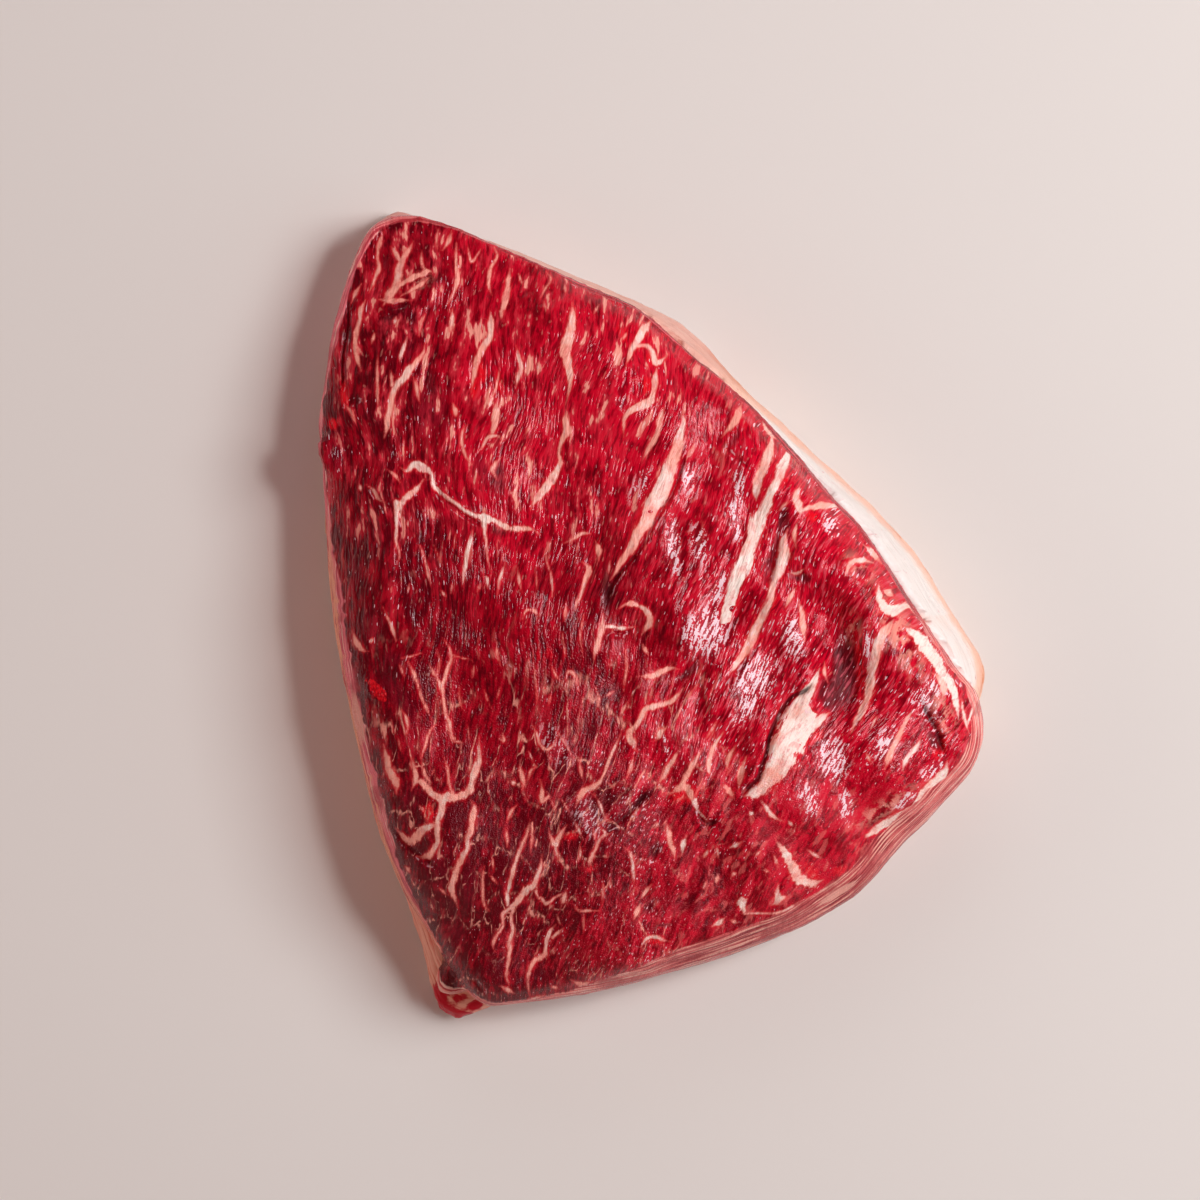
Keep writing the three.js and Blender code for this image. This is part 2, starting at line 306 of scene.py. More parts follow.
def ease(low, high, value):
    """0 below low, 1 above high, smooth between."""
    share = np.clip((value - low) / (high - low), 0, 1)
    return share * share * (3 - 2 * share)


line_of_points = np.arange(300)[:, None] * np.array((0.37, 0.21, 0.11))
print("noise spans", round(float(np.ptp(fractal(line_of_points, seed=1))), 2))


# %% Lines
TAPER = 4.0


def rounded(run, pieces=4):
    """The run with smooth corners: a Catmull-Rom curve through its points, whatever their columns."""
    run = np.array(run, float)
    ends = np.vstack([2 * run[0] - run[1], run, 2 * run[-1] - run[-2]])
    made = []
    for p0, p1, p2, p3 in zip(ends[:-3], ends[1:-2], ends[2:-1], ends[3:]):
        for t in np.arange(pieces) / pieces:
            bend = 2 * p1 + (p2 - p0) * t + (2 * p0 - 5 * p1 + 4 * p2 - p3) * t**2
            made.append((bend + (3 * p1 - p0 - 3 * p2 + p3) * t**3) / 2)
    return np.array([*made, run[-1]])


def tapered(run, joined=(False, False)):
    """The rounded run with its loose ends drawn out thin, and a last column: how full it is there."""
    run = rounded(run)
    steps = np.linalg.norm(np.diff(run[:, :2], axis=0), axis=1)
    along = np.concatenate([[0], np.cumsum(steps)])
    full = np.ones(len(run))
    for is_joined, distance in zip(joined, (along, along[-1] - along)):
        if not is_joined:
            full *= ease(0, min(TAPER, 0.45 * along[-1]), distance)
    run[:, 2] *= 0.15 + 0.85 * full
    return np.column_stack([run, full])


def near_run(flat, run, reach):
    """For the points (x, y) within reach of a run of (x, y, width, ...): their indices, their
    distance to the run, and the run's columns from the width on at the nearest place."""
    low, high = run[:, :2].min(axis=0) - reach, run[:, :2].max(axis=0) + reach
    picked = np.nonzero(np.all((flat > low) & (flat < high), axis=1))[0]
    here = flat[picked]
    best = np.full(len(here), 1e9)
    columns = np.zeros((len(here), run.shape[1] - 2))
    for a, b in zip(run[:-1], run[1:]):
        way = b[:2] - a[:2]
        share = np.clip(((here - a[:2]) @ way) / max(way @ way, 1e-9), 0, 1)[:, None]
        gap = np.linalg.norm(here - a[:2] - share * way, axis=1)
        values = a[2:] + share * (b[2:] - a[2:])
        nearer = gap - values[:, 0] / 2 < best - columns[:, 0] / 2
        best[nearer] = gap[nearer]
        columns[nearer] = values[nearer]
    return picked, best, columns


print("three points rounded:", len(rounded([(0, 0, 1), (5, 2, 1), (9, 0, 1)])), "points")

# %% [markdown]
# ## Two fine meshes
# The solids of the frame are too coarse for fibres. Each is copied, its loose triangles are merged,
# and a voxel remesh turns it into an even skin; the faces that show are then cut finer.

# %% Copy, merge and remesh
WELD_DISTANCE = 0.00001


def fine_copy(node, name, voxel, smoothing):
    """A free copy of a solid with an even skin of voxel-sized faces (millimetres)."""
    bpy.ops.object.select_all(action="DESELECT")
    source = frame["nodes"][node]
    source.select_set(True)
    bpy.context.view_layer.objects.active = source
    bpy.ops.object.duplicate()
    piece = bpy.context.object
    piece.name = piece.data.name = name
    bpy.ops.object.parent_clear(type="CLEAR_KEEP_TRANSFORM")
    for key in list(piece.keys()):
        del piece[key]
    piece.data.materials.clear()
    bpy.ops.object.mode_set(mode="EDIT")
    bpy.ops.mesh.select_all(action="SELECT")
    bpy.ops.mesh.remove_doubles(threshold=WELD_DISTANCE)
    bpy.ops.mesh.normals_make_consistent(inside=False)
    bpy.ops.object.mode_set(mode="OBJECT")
    remesh = piece.modifiers.new("skin", "REMESH")
    remesh.mode = "VOXEL"
    remesh.voxel_size = voxel * MM
    bpy.ops.object.modifier_apply(modifier=remesh.name)
    relax = piece.modifiers.new("relax", "SMOOTH")
    relax.factor = 0.5
    relax.iterations = smoothing
    bpy.ops.object.modifier_apply(modifier=relax.name)
    return piece


def places(piece):
    """The piece's vertices in millimetres, and their normals."""
    count = len(piece.data.vertices)
    at = np.zeros(count * 3)
    out = np.zeros(count * 3)
    piece.data.vertices.foreach_get("co", at)
    piece.data.vertices.foreach_get("normal", out)
    return at.reshape(-1, 3) / MM, out.reshape(-1, 3)


def move_to(piece, at):
    piece.data.vertices.foreach_set("co", (at * MM).ravel())
    piece.data.update()


def cut_finer(piece, wanted):
    """Splits each face that wanted(centre, normal) picks into four."""
    faces = piece.data.polygons
    centre = np.zeros(len(faces) * 3)
    normal = np.zeros(len(faces) * 3)
    faces.foreach_get("center", centre)
    faces.foreach_get("normal", normal)
    chosen = wanted(centre.reshape(-1, 3) / MM, normal.reshape(-1, 3))
    for elements in (piece.data.vertices, piece.data.edges):
        elements.foreach_set("select", np.zeros(len(elements), bool))
    faces.foreach_set("select", chosen)
    bpy.context.view_layer.objects.active = piece
    bpy.ops.object.mode_set(mode="EDIT")
    bpy.context.tool_settings.mesh_select_mode = (False, False, True)
    bpy.ops.mesh.subdivide(number_cuts=1, smoothness=0)
    bpy.ops.object.mode_set(mode="OBJECT")


def triangles(piece):
    return sum(len(face.vertices) - 2 for face in piece.data.polygons)


print("solids to copy:", {name: triangles(piece) for name, piece in frame["nodes"].items()})

# %% [markdown]
# ## The grain
# Muscle fibres run in one direction and fan out a little: steep on the left, leaning to the right on
# the right. Lines through one far point below the meat give that fan. A point's place is then told
# by how far it lies across the fibres and how far along them.

# %% Across and along the fibres
FAN_AT = (-82.0, -290.0)
FAN_REACH = 290.0


def grain(at):
    """How far each point lies across the fibres and along them, in millimetres."""
    dx, dy = at[:, 0] - FAN_AT[0], at[:, 1] - FAN_AT[1]
    return np.arctan2(dx, dy) * FAN_REACH, np.hypot(dx, dy)


def wavy_grain(at):
    """The same, with the slow wander of real fibres."""
    across, along = grain(at)
    return across + 2.5 * smooth_noise(at / 22, seed=91), along


def along_grain(at, across_size, along_size, seed):
    """Noise that is drawn out along the fibres."""
    across, along = wavy_grain(at)
    points = np.column_stack([across / across_size, along / along_size, at[:, 2] / across_size])
    return fractal(points, seed, octaves=2)


left_and_right = np.array([(-90.0, 0, 40), (90, 0, 40)])
print("the fibres lean by (degrees):", np.degrees(grain(left_and_right)[0] / FAN_REACH).round())

# %% [markdown]
# ## Seams of fat
# The seams are landmarks, so each is drawn: a name, how white it is (0 salmon, 1 cream) and
# the points it runs through, each with the seam's width there, all in millimetres. The points were
# picked on enlarged views of the photograph, turned from its pixels into places on the cut
# face, and rounded to half a millimetre. The seams stand a little proud of the lean. Finer marbling
# comes later, in the material.

# %% The seams
# A few thin white runs in this table are painted highlights, not fat: the glint runs, the short one beside
# the long seam, and the white end of the big seam's tail.
SEAMS = [
    ("tip_rim", 0.35, [(-82.5, 117, 1.2), (-83.5, 113.5, 1.6), (-84, 109.5, 1.2), (-83.5, 106, 1.6),
        (-85, 102, 1.8), (-86.5, 98, 1.2)]),
    ("tip_fork", 0.45, [(-73, 114, 1.6), (-74.5, 111, 2.2), (-76.5, 107.5, 2.8), (-77.5, 103.5, 2.8),
        (-78.5, 99.5, 3.4), (-80.5, 96.5, 3.4), (-82, 94, 1.8)]),
    ("tip_fork_left", 0.45, [(-80, 112.5, 1), (-78.5, 110.5, 1.6), (-77, 108, 1.8)]),
    ("tip_foot", 0.45, [(-83.5, 96, 1), (-80.5, 95.5, 2.2), (-77, 95.5, 1.6), (-73, 95.5, 1)]),
    ("tip_arm", 0.35, [(-76.5, 100.5, 1.2), (-74, 102, 2.2), (-71.5, 103, 2.2), (-68, 104.5, 2.2),
        (-66.5, 103, 1.2)]),
    ("tip_arm_low", 0.3, [(-76.5, 97, 1.2), (-73.5, 98.5, 1.6), (-70.5, 100.5, 1.8), (-68, 102.5, 1.2)]),
    ("rim_left_a", 0.3, [(-89, 101, 1.6), (-90.5, 98.5, 1.6), (-92, 95, 1)]),
    ("rim_left_b", 0.3, [(-87.5, 96, 1.2), (-89, 92.5, 2.2), (-89.5, 88.5, 1.8), (-90.5, 83.5, 1.8),
        (-90, 78.5, 1.6), (-88.5, 74, 1.2)]),
    ("rim_left_c", 0.35, [(-84.5, 85.5, 1.6), (-85.5, 82, 0.6)]),
    ("spot_tip", 0.9, [(-78, 90.5, 1.2), (-78.5, 88, 1.2)]),
    ("thread_tip", 0.7, [(-69, 91.5, 0.6), (-70.5, 88, 0.8), (-71, 84.5, 0.6)]),
    ("dash_01", 0.3, [(-65.5, 118, 1), (-66, 113.5, 1), (-65, 109.5, 0.6)]),
    ("dash_02", 0.3, [(-61.5, 117.5, 1.2), (-62, 114.5, 1.6), (-64, 111, 0.6)]),
    ("dash_03", 0.3, [(-60, 113.5, 1), (-60, 107.5, 1.2), (-59.5, 102, 1.8), (-60.5, 98, 1.2),
        (-62.5, 94, 1)]),
    ("dash_04", 0.35, [(-61, 93, 1.2), (-61, 89.5, 1.6), (-61.5, 86, 0.6)]),
    ("dash_05", 0.4, [(-60.5, 88, 1), (-61, 82.5, 0.6)]),
    ("dash_06", 0.5, [(-56.5, 113, 0.8), (-56, 109.5, 0.8), (-55, 107.5, 1), (-52.5, 111.5, 0.6)]),
    ("dash_07", 0.35, [(-48.5, 112.5, 1.2), (-47.5, 109, 1.2), (-49.5, 105.5, 1.2), (-50, 100.5, 1.2),
        (-49, 97, 1)]),
    ("dash_08", 0.45, [(-43.5, 105.5, 1.6), (-44, 101.5, 2.2), (-44.5, 97, 2.4), (-45.5, 93, 1.6)]),
    ("dash_09", 0.2, [(-41, 104, 1.2), (-39.5, 100, 1)]),
    ("dash_10", 0.3, [(-32.5, 104.5, 1.2), (-31, 102, 1), (-33, 98.5, 1), (-34.5, 95.5, 0.6)]),
    ("dash_11", 0.35, [(-33, 95, 1), (-32.5, 91.5, 1.2)]),
    ("dash_12", 0.3, [(-70.5, 111, 0.6), (-70.5, 107.5, 1), (-69.5, 105, 0.6)]),
    ("dash_13", 0.4, [(-27, 101, 1), (-26.5, 97.5, 1)]),
    ("dash_14", 0.35, [(-16.5, 94, 1.2), (-18, 91, 0.6)]),
    ("dash_15", 0.4, [(-46, 92, 1.6), (-46, 89.5, 1)]),
    ("mid_left", 0.35, [(-49.5, 92.5, 1.6), (-49, 88, 2.4), (-49.5, 84, 2.2), (-52, 80, 2.8),
        (-53.5, 76, 2.2), (-54.5, 71.5, 1.8), (-55, 67, 1.2)]),
    ("mid_gloss", 0.65, [(-41.5, 81.5, 1), (-40.5, 77.5, 1.8), (-40, 74.5, 1.8), (-41, 71, 1.6),
        (-41.5, 68.5, 1)]),
    ("mid_thin", 0.55, [(-46.5, 75, 0.6), (-47, 71, 1), (-48, 67.5, 1.2), (-49.5, 64.5, 1)]),
    ("mid_thin_b", 0.5, [(-50, 68.5, 0.6), (-51, 64.5, 0.6)]),
    ("spine_top", 0.45, [(-24.5, 94.5, 1.6), (-24.5, 90, 2.8), (-25.5, 85, 3.4), (-26.5, 80.5, 4),
        (-26, 76, 3.4), (-25, 71.5, 2.2), (-25.5, 67, 0.8), (-26.5, 63.5, 1)]),
    ("spine_mid", 0.5, [(-26.5, 62, 1.2), (-26.5, 59, 2.8), (-26, 55.5, 3.4), (-27.5, 53, 1.8),
        (-28.5, 49, 1.2), (-28, 46, 1.8), (-29.5, 43, 2.8)]),
    ("spine_low", 0.5, [(-29.5, 43, 2.8), (-31, 40.5, 3.4), (-33, 38, 3.4), (-35, 35.5, 2.8),
        (-36.5, 33, 1.6), (-37, 31.5, 0.6)]),
    ("left_arm", 0.6, [(-74.5, 84.5, 1), (-75.5, 81, 1.6), (-76.5, 78, 1.8), (-76.5, 75.5, 1)]),
    ("left_arm_b", 0.6, [(-69, 83, 0.6), (-69.5, 79.5, 1), (-71, 77.5, 1.6), (-72.5, 75.5, 2.4),
        (-75, 72.5, 3), (-77.5, 69.5, 2.4), (-79, 65.5, 2.2), (-80, 61.5, 2.2), (-80.5, 57, 2.4),
        (-81.5, 53.5, 1.2)]),
    ("left_arm_leg", 0.4, [(-72.5, 72, 1.8), (-71.5, 68.5, 1.6), (-71, 65.5, 1.2), (-70.5, 64, 0.6)]),
    ("left_line_a", 0.5, [(-83.5, 79, 0.6), (-83.5, 69.5, 1), (-83.5, 65, 1), (-83, 62, 0.6)]),
    ("left_line_b", 0.4, [(-79.5, 74, 1.2), (-79, 69.5, 1)]),
    ("left_flap_edge", 0.45, [(-93.5, 64, 1), (-91.5, 61.5, 1.2), (-90, 58.5, 0.6)]),
    ("red_blob", 0.1, [(-60.5, 64, 1.6), (-59.5, 60, 2.2)]),
    ("bird_top", 0.45, [(-47, 65, 2.8), (-47.5, 61.5, 2.8), (-48, 57.5, 2.4), (-48.5, 55, 1.2)]),
    ("bird_beak", 0.6, [(-45.5, 52.5, 1.6), (-47, 54, 1.8), (-50, 53.5, 1.6), (-51.5, 51, 1.2),
        (-53, 49, 0.6)]),
    ("bird_tail", 0.45, [(-56.5, 57.5, 1.2), (-58, 54.5, 1.2), (-57.5, 50.5, 1.2), (-56.5, 47.5, 1.2),
        (-55, 45.5, 0.6)]),
    ("bird_low", 0.4, [(-45.5, 48, 0.6), (-47.5, 46, 1.6), (-48.5, 43.5, 1.6), (-47, 40.5, 1)]),
    ("dash_16", 0.45, [(-37, 58, 1), (-38.5, 54.5, 1.2)]),
    ("tear_a", 0.85, [(-76.5, 44.5, 0.6), (-74.5, 43.5, 1.2), (-72.5, 45.5, 1.8), (-70.5, 45, 2.4),
        (-68.5, 44, 1.8), (-67, 42.5, 1.2), (-66.5, 39.5, 1.2), (-65, 37.5, 1)]),
    ("tear_b", 0.8, [(-65, 37.5, 1), (-62.5, 35.5, 1), (-59.5, 33.5, 1), (-57, 31.5, 1), (-54, 30, 1.2),
        (-51.5, 29.5, 2.2), (-50, 29, 2.4), (-48, 28.5, 1.2)]),
    ("tear_c", 0.8, [(-48, 28.5, 1.2), (-45.5, 27, 1.6), (-43, 26, 1.2), (-40, 26, 1.6), (-38, 26, 1),
        (-36, 25.5, 0.6), (-34, 24, 0.6)]),
    ("tear_left", 0.7, [(-87, 39.5, 0.6), (-85, 38, 1), (-83, 35, 1), (-81, 34, 0.6)]),
    ("tear_left_b", 0.7, [(-89, 39.5, 1), (-88.5, 37.5, 0.6)]),
    ("tear_left_c", 0.5, [(-80.5, 44, 0.6), (-78, 42, 1), (-76.5, 40, 0.6)]),
    ("tear_arm", 0.6, [(-69.5, 41, 1), (-71.5, 38, 1.2), (-74, 36, 1.6), (-76, 34, 1.6), (-77, 32.5, 2.2)]),
    ("drip_a", 0.9, [(-77.5, 34, 2.2), (-77.5, 30, 1.6), (-77.5, 26, 1.2), (-77.5, 22, 1), (-76.5, 18.5, 1),
        (-77, 15.5, 0.6)]),
    ("drip_a_side", 0.8, [(-75.5, 34, 0.6), (-76.5, 30, 0.6)]),
    ("drip_b", 1, [(-54.5, 25.5, 1.2), (-55, 22.5, 1.8), (-56, 19, 1.8), (-56.5, 15.5, 1.8), (-57, 12, 1.2),
        (-57.5, 8.5, 0.6)]),
    ("drip_c", 0.9, [(-51, 29, 2.4), (-51, 26, 1.6), (-50.5, 22.5, 1), (-50, 17.5, 0.6), (-49, 13, 0.6)]),
    ("drip_d", 0.7, [(-70.5, 21, 0.6), (-69, 17, 0.8), (-68, 13, 1), (-67, 8.5, 0.6)]),
    ("drip_e", 0.8, [(-51.5, 11.5, 0.6), (-50, 11, 1.2), (-50, 8, 1)]),
    ("drip_f", 0.8, [(-44.5, 16, 0.6), (-45.5, 13, 1.2), (-46.5, 10, 1), (-47, 6, 0.4)]),
    ("drip_g", 0.85, [(-52, 9.5, 1), (-53, 7, 0.6)]),
    ("drip_h", 0.85, [(-60.5, 9.5, 1), (-61, 6.5, 0.6)]),
    ("drip_i", 0.6, [(-64, 7.5, 1), (-62.5, 5.5, 1)]),
    ("drip_j", 0.5, [(-73.5, 9.5, 1), (-74, 6.5, 0.6)]),
    ("drip_k", 0.4, [(-59.5, 25, 0.6), (-60, 20, 0.6)]),
    ("drip_l", 0.4, [(-66, 21, 0.6), (-64.5, 16.5, 0.6)]),
    ("drip_m", 0.6, [(-74, 28.5, 1), (-74, 26.5, 0.6)]),
    ("thread_a", 0.85, [(-32.5, 19.5, 0.6), (-32, 15.5, 0.8), (-31, 12.5, 0.8), (-30.5, 8.5, 0.8),
        (-30.5, 5.5, 0.6)]),
    ("thread_b", 0.4, [(-41, 14.5, 0.6), (-40.5, 10.5, 1), (-39.5, 6.5, 0.6)]),
    ("thread_c", 0.4, [(-35.5, 13, 0.6), (-35, 7.5, 0.8)]),
    ("hook_top", 0.45, [(-27, 21.5, 0.6), (-24, 23, 1.2), (-21.5, 24.5, 1.8), (-19, 24.5, 1.6)]),
    ("hook_side", 0.25, [(-17.5, 22.5, 1.6), (-16.5, 19.5, 2.4), (-16.5, 16.5, 1.6)]),
    ("hook_low", 0.35, [(-21.5, 16, 1.2), (-19.5, 14, 2.4), (-20.5, 10.5, 1.6), (-21.5, 7, 1.2),
        (-22.5, 4, 0.6)]),
    ("ring_a", 0.5, [(-39.5, -1.5, 0.6), (-38.5, 1, 0.8), (-37, 1.5, 1), (-35, 0.5, 1.2), (-35, -2, 0.6)]),
    ("line_a", 0.4, [(-26.5, 4, 0.6), (-26.5, 0.5, 1.2), (-27, -2, 0.6)]),
    ("line_b", 0.5, [(-27.5, -5, 0.4), (-27, -9, 0.6), (-26.5, -12.5, 1)]),
    ("line_c", 0.4, [(-21, 0, 0.6), (-22, -6, 0.8), (-21.5, -11, 1)]),
    ("line_d", 0.35, [(-23, 4.5, 0.6), (-23.5, 1, 0.6)]),
    ("left_nub", 0.5, [(-91, -4.5, 1.2), (-90, -8, 2.2), (-88, -10.5, 2.4), (-86, -11, 1.2)]),
    ("left_nub_b", 0.6, [(-84.5, -7, 1.2), (-85.5, -8.5, 1.2)]),
    ("net_a", 0.45, [(-81.5, 2.5, 0.6), (-80, -1, 1), (-78.5, -4.5, 1.2), (-77.5, -8, 0.6)]),
    ("net_b", 0.5, [(-63.5, -7, 0.6), (-61.5, -10, 0.6), (-61, -13, 1), (-62, -16, 1.2), (-63, -19, 1.2),
        (-64, -21.5, 1.6)]),
    ("net_c", 0.5, [(-65.5, -10, 0.6), (-64.5, -13.5, 0.6), (-65, -18, 0.6)]),
    ("net_d", 0.5, [(-68, -14, 0.6), (-66.5, -17, 1), (-65, -19.5, 1), (-64, -21.5, 1.6), (-63.5, -24.5, 1),
        (-63, -28, 1), (-62.5, -30.5, 1), (-61.5, -32.5, 1.6), (-61, -35.5, 1), (-60, -38, 0.6),
        (-58, -38.5, 1), (-58, -40.5, 0.6)]),
    ("net_e", 0.5, [(-74, -14, 1), (-72.5, -17, 1.2), (-71, -21, 1), (-70, -24.5, 1), (-68.5, -28, 1),
        (-67, -31.5, 0.6)]),
    ("net_f", 0.45, [(-76.5, -15, 1), (-75, -18.5, 0.6)]),
    ("net_g", 0.45, [(-54, -15, 0.6), (-54.5, -19, 0.6)]),
    ("net_h", 0.5, [(-58.5, -21.5, 0.6), (-58.5, -25.5, 0.6), (-57.5, -28.5, 1)]),
    ("net_i", 0.45, [(-76, -28.5, 0.6), (-74.5, -31, 1.2), (-74, -34, 1), (-74.5, -36, 1)]),
    ("net_j", 0.6, [(-79, -31.5, 0.6), (-78.5, -35.5, 0.6)]),
    ("net_k", 0.6, [(-77, -37, 0.6), (-76, -41, 0.6)]),
    ("net_l", 0.5, [(-65.5, -33, 1), (-67.5, -35, 1), (-68.5, -38.5, 1), (-70, -43, 1)]),
    ("net_m", 0.4, [(-63, -43, 1), (-62, -46.5, 1), (-61.5, -50.5, 0.8), (-60.5, -53.5, 1)]),
    ("net_n", 0.4, [(-56, -33, 0.6), (-55.5, -37.5, 0.6)]),
    ("net_o", 0.4, [(-47, -8, 0.6), (-47, -12, 1), (-46, -15.5, 0.6)]),
    ("net_p", 0.4, [(-76, -13, 0.6), (-73, -12.5, 0.4), (-70, -11.5, 0.4)]),
    ("net_q", 0.4, [(-61, -12, 0.4), (-57.5, -13, 0.4), (-54.5, -13.5, 0.4)]),
    ("net_r", 0.4, [(-31, -14.5, 0.6), (-29.5, -18, 1), (-28, -20, 0.6)]),
    ("net_s", 0.4, [(-26.5, -19.5, 0.6), (-25.5, -17, 1), (-23.5, -18.5, 1), (-22.5, -23, 0.4)]),
    ("net_t", 0.5, [(-31, -24, 1.2), (-31.5, -27, 0.6)]),
    ("net_u", 0.35, [(-36, -14, 0.4), (-35.5, -20, 0.6), (-35, -27, 0.4)]),
    ("net_v", 0.35, [(-51, -22.5, 0.6), (-49, -28, 0.4)]),
    ("net_w", 0.4, [(-46, -21.5, 0.6), (-47, -25, 0.4)]),
    ("u_ring", 0.45, [(-36.5, -33, 0.6), (-35, -36, 1.2), (-34, -39, 1), (-32, -40.5, 1), (-30, -39, 1),
        (-29, -36.5, 0.6)]),
    ("fork_stem", 0.55, [(-15, 0.5, 1.2), (-15.5, -4, 2.2), (-16.5, -7.5, 2.2), (-17.5, -11, 2.2),
        (-18, -13.5, 1.8)]),
    ("fork_branch", 0.85, [(-14.5, -3.5, 1), (-12.5, -3.5, 1.2), (-10.5, -4, 1.2), (-8.5, -4, 1.2),
        (-5.5, -3.5, 0.6)]),
    ("fork_ring", 0.5, [(-10.5, 2, 1), (-7.5, 3.5, 1.6), (-4, 2.5, 1.6), (-1.5, 0.5, 2.2), (-1, -2, 2.2),
        (-2.5, -4.5, 1.6), (-3.5, -6, 0.6)]),
    ("fork_dash", 0.4, [(-8.5, -10.5, 0.6), (-8, -15.5, 1), (-8.5, -19, 1), (-9, -23, 1.6)]),
    ("fork_dash_b", 0.4, [(-12, -23, 0.6), (-14.5, -24.5, 1)]),
    ("fork_dash_c", 0.4, [(-17.5, -21.5, 0.6), (-16.5, -25.5, 1), (-17.5, -29, 0.6)]),
    ("fork_dash_d", 0.35, [(-3.5, -8.5, 1), (-1.5, -12, 1.6)]),
    ("middle_dash", 0.5, [(-4.5, -18.5, 1.2), (-1.5, -18.5, 1.8), (1, -18, 1.8), (3.5, -16.5, 1.8),
        (6, -16, 1.2), (8, -16.5, 0.6)]),
    ("middle_arc", 0.45, [(9, -22, 0.6), (7, -24.5, 1.2), (4.5, -26.5, 1.6), (0.5, -27.5, 1.8),
        (-2.5, -28.5, 1.8), (-4, -31.5, 1.8), (-6, -34, 1.8), (-7.5, -36, 2.4), (-6, -39, 2.2),
        (-5.5, -41, 1)]),
    ("middle_arc_b", 0.45, [(-6, -42.5, 0.6), (-7, -46, 1.2), (-8, -49, 1)]),
    ("lobe", 0.3, [(0.5, -38, 1), (2, -35.5, 2.2), (4, -34, 1.2)]),
    ("lower_arc", 0.5, [(-10, -36, 0.6), (-12, -40.5, 1), (-13.5, -44, 1), (-15, -48, 1.2),
        (-16.5, -50.5, 1.6), (-19, -52, 2.2), (-21, -53, 2.2), (-22.5, -55.5, 1.6), (-23.5, -58, 0.6)]),
    ("lower_arc_b", 0.4, [(-13.5, -50.5, 0.6), (-12, -52, 0.6)]),
    ("lower_line", 0.4, [(-22, -43, 0.6), (-22, -46.5, 1), (-21, -50, 0.6)]),
    ("orange_a", 0.15, [(14.5, -40, 1), (12, -44.5, 1.6), (9.5, -49, 1.6), (7.5, -52.5, 1)]),
    ("orange_b", 0.3, [(8, -40, 1), (5, -45, 1.6), (3, -48.5, 1.6), (1, -51.5, 1)]),
    ("orange_c", 0.2, [(21, -35, 0.6), (18, -40, 1.2), (16.5, -45.5, 1.6), (17.5, -49, 1.2)]),
    ("orange_d", 0.2, [(25, -39, 1), (22.5, -43, 1.6), (22, -47, 1.2)]),
    ("orange_e", 0.15, [(28, -42.5, 1), (26.5, -47, 1.8), (25.5, -52.5, 1.6)]),
    ("orange_f", 0.15, [(21, -51, 1.6), (24, -54.5, 2.2)]),
    ("orange_g", 0.15, [(4.5, -54, 1.2), (9.5, -51.5, 2.2), (11.5, -55, 1.8)]),
    ("orange_h", 0.2, [(19, -32, 0.6), (16, -37, 1.2)]),
    ("ring2_top", 0.45, [(-6, 81, 1), (-2.5, 81.5, 1), (-0.5, 80, 1.6), (0.5, 76.5, 2.4), (2, 76.5, 1.6),
        (4.5, 79, 1.2)]),
    ("top_right_a", 0.7, [(0, 90.5, 1.6), (-2, 87.5, 2.8), (-4.5, 84, 2.8), (-6, 81, 2.2),
        (-7.5, 77.5, 1.2), (-8.5, 75, 0.6)]),
    ("top_right_b", 0.5, [(1, 74.5, 2.4), (0.5, 71, 2.2), (0, 67.5, 1.6), (-0.5, 64.5, 2.4)]),
    ("top_right_c", 0.5, [(-0.5, 64.5, 2.4), (-3.5, 63, 3), (-6.5, 62, 2.4), (-8.5, 60, 1.6), (-9, 56.5, 1),
        (-9, 53.5, 0.6)]),
    ("top_right_d", 0.4, [(3.5, 63, 1.8), (2, 59, 1.8), (1.5, 55.5, 1.8), (0, 52.5, 1.6), (-2, 49, 1.2),
        (-3.5, 46, 0.6)]),
    ("top_right_e", 0.6, [(-1.5, 60.5, 1), (-3, 57, 1), (-4, 53.5, 0.6)]),
    ("top_right_f", 0.4, [(8.5, 67, 1), (7, 63.5, 1.2)]),
    ("orange_tip", 0.15, [(-8, 85.5, 1.6), (-9.5, 83, 1.2)]),
    ("long_seam", 0.6, [(9, 62, 0.6), (9, 58, 1.6), (8, 54, 2.8), (7, 49.5, 3.6), (5.5, 46, 4.2),
        (4, 41.5, 5.2), (2.5, 37.5, 5.8), (0.5, 34.5, 5.4), (-1, 31.5, 4.6), (-2.5, 28, 4), (-4.5, 25, 3.6),
        (-6, 21.5, 3), (-8, 18.5, 2.4), (-10, 15.5, 1.6), (-11.5, 12.5, 1), (-13, 10.5, 0.6)]),
    # Painted highlight, not fat: a thin white glint beside the long seam.
    ("long_glint", 0.95, [(-13, 16.5, 0.8), (-13.5, 12.5, 0.6)]),
    ("arm_a", 0.6, [(36, 53.5, 1.2), (35, 49.5, 2.4), (33.5, 45, 3), (32, 41.5, 2.8), (31, 37.5, 2.8),
        (31, 34.5, 1.8)]),
    ("arm_patch", 0.5, [(34, 63, 1.6), (34.5, 58, 2.4), (36, 54.5, 2.4), (38.5, 53, 1.8)]),
    ("arm_orange", 0.15, [(27, 64.5, 1.8), (25.5, 60, 2.4), (23, 56.5, 1.8), (20.5, 53.5, 1)]),
    ("white_seam", 0.85, [(42, 51.5, 1.2), (40.5, 47.5, 2.4), (38.5, 43.5, 2.8), (37, 39.5, 2.8),
        (35, 36, 2.8), (33.5, 32, 3.6), (31.5, 28.5, 4.6), (30.5, 24.5, 4.2), (29, 21, 4.2), (28, 17, 4.6),
        (26.5, 14, 4.6), (25, 10.5, 4), (23.5, 7, 3.6), (23, 3.5, 4.2), (22, 0.5, 3.6), (21.5, -2.5, 2.8),
        (20.5, -5, 1.2)]),
    ("spatter_seam", 0.55, [(44.5, 39.5, 1.6), (43, 36, 2.2), (43.5, 33, 2.4), (44.5, 31, 1)]),
    ("spatter_arm", 0.5, [(41, 34.5, 1.2), (38, 31.5, 1)]),
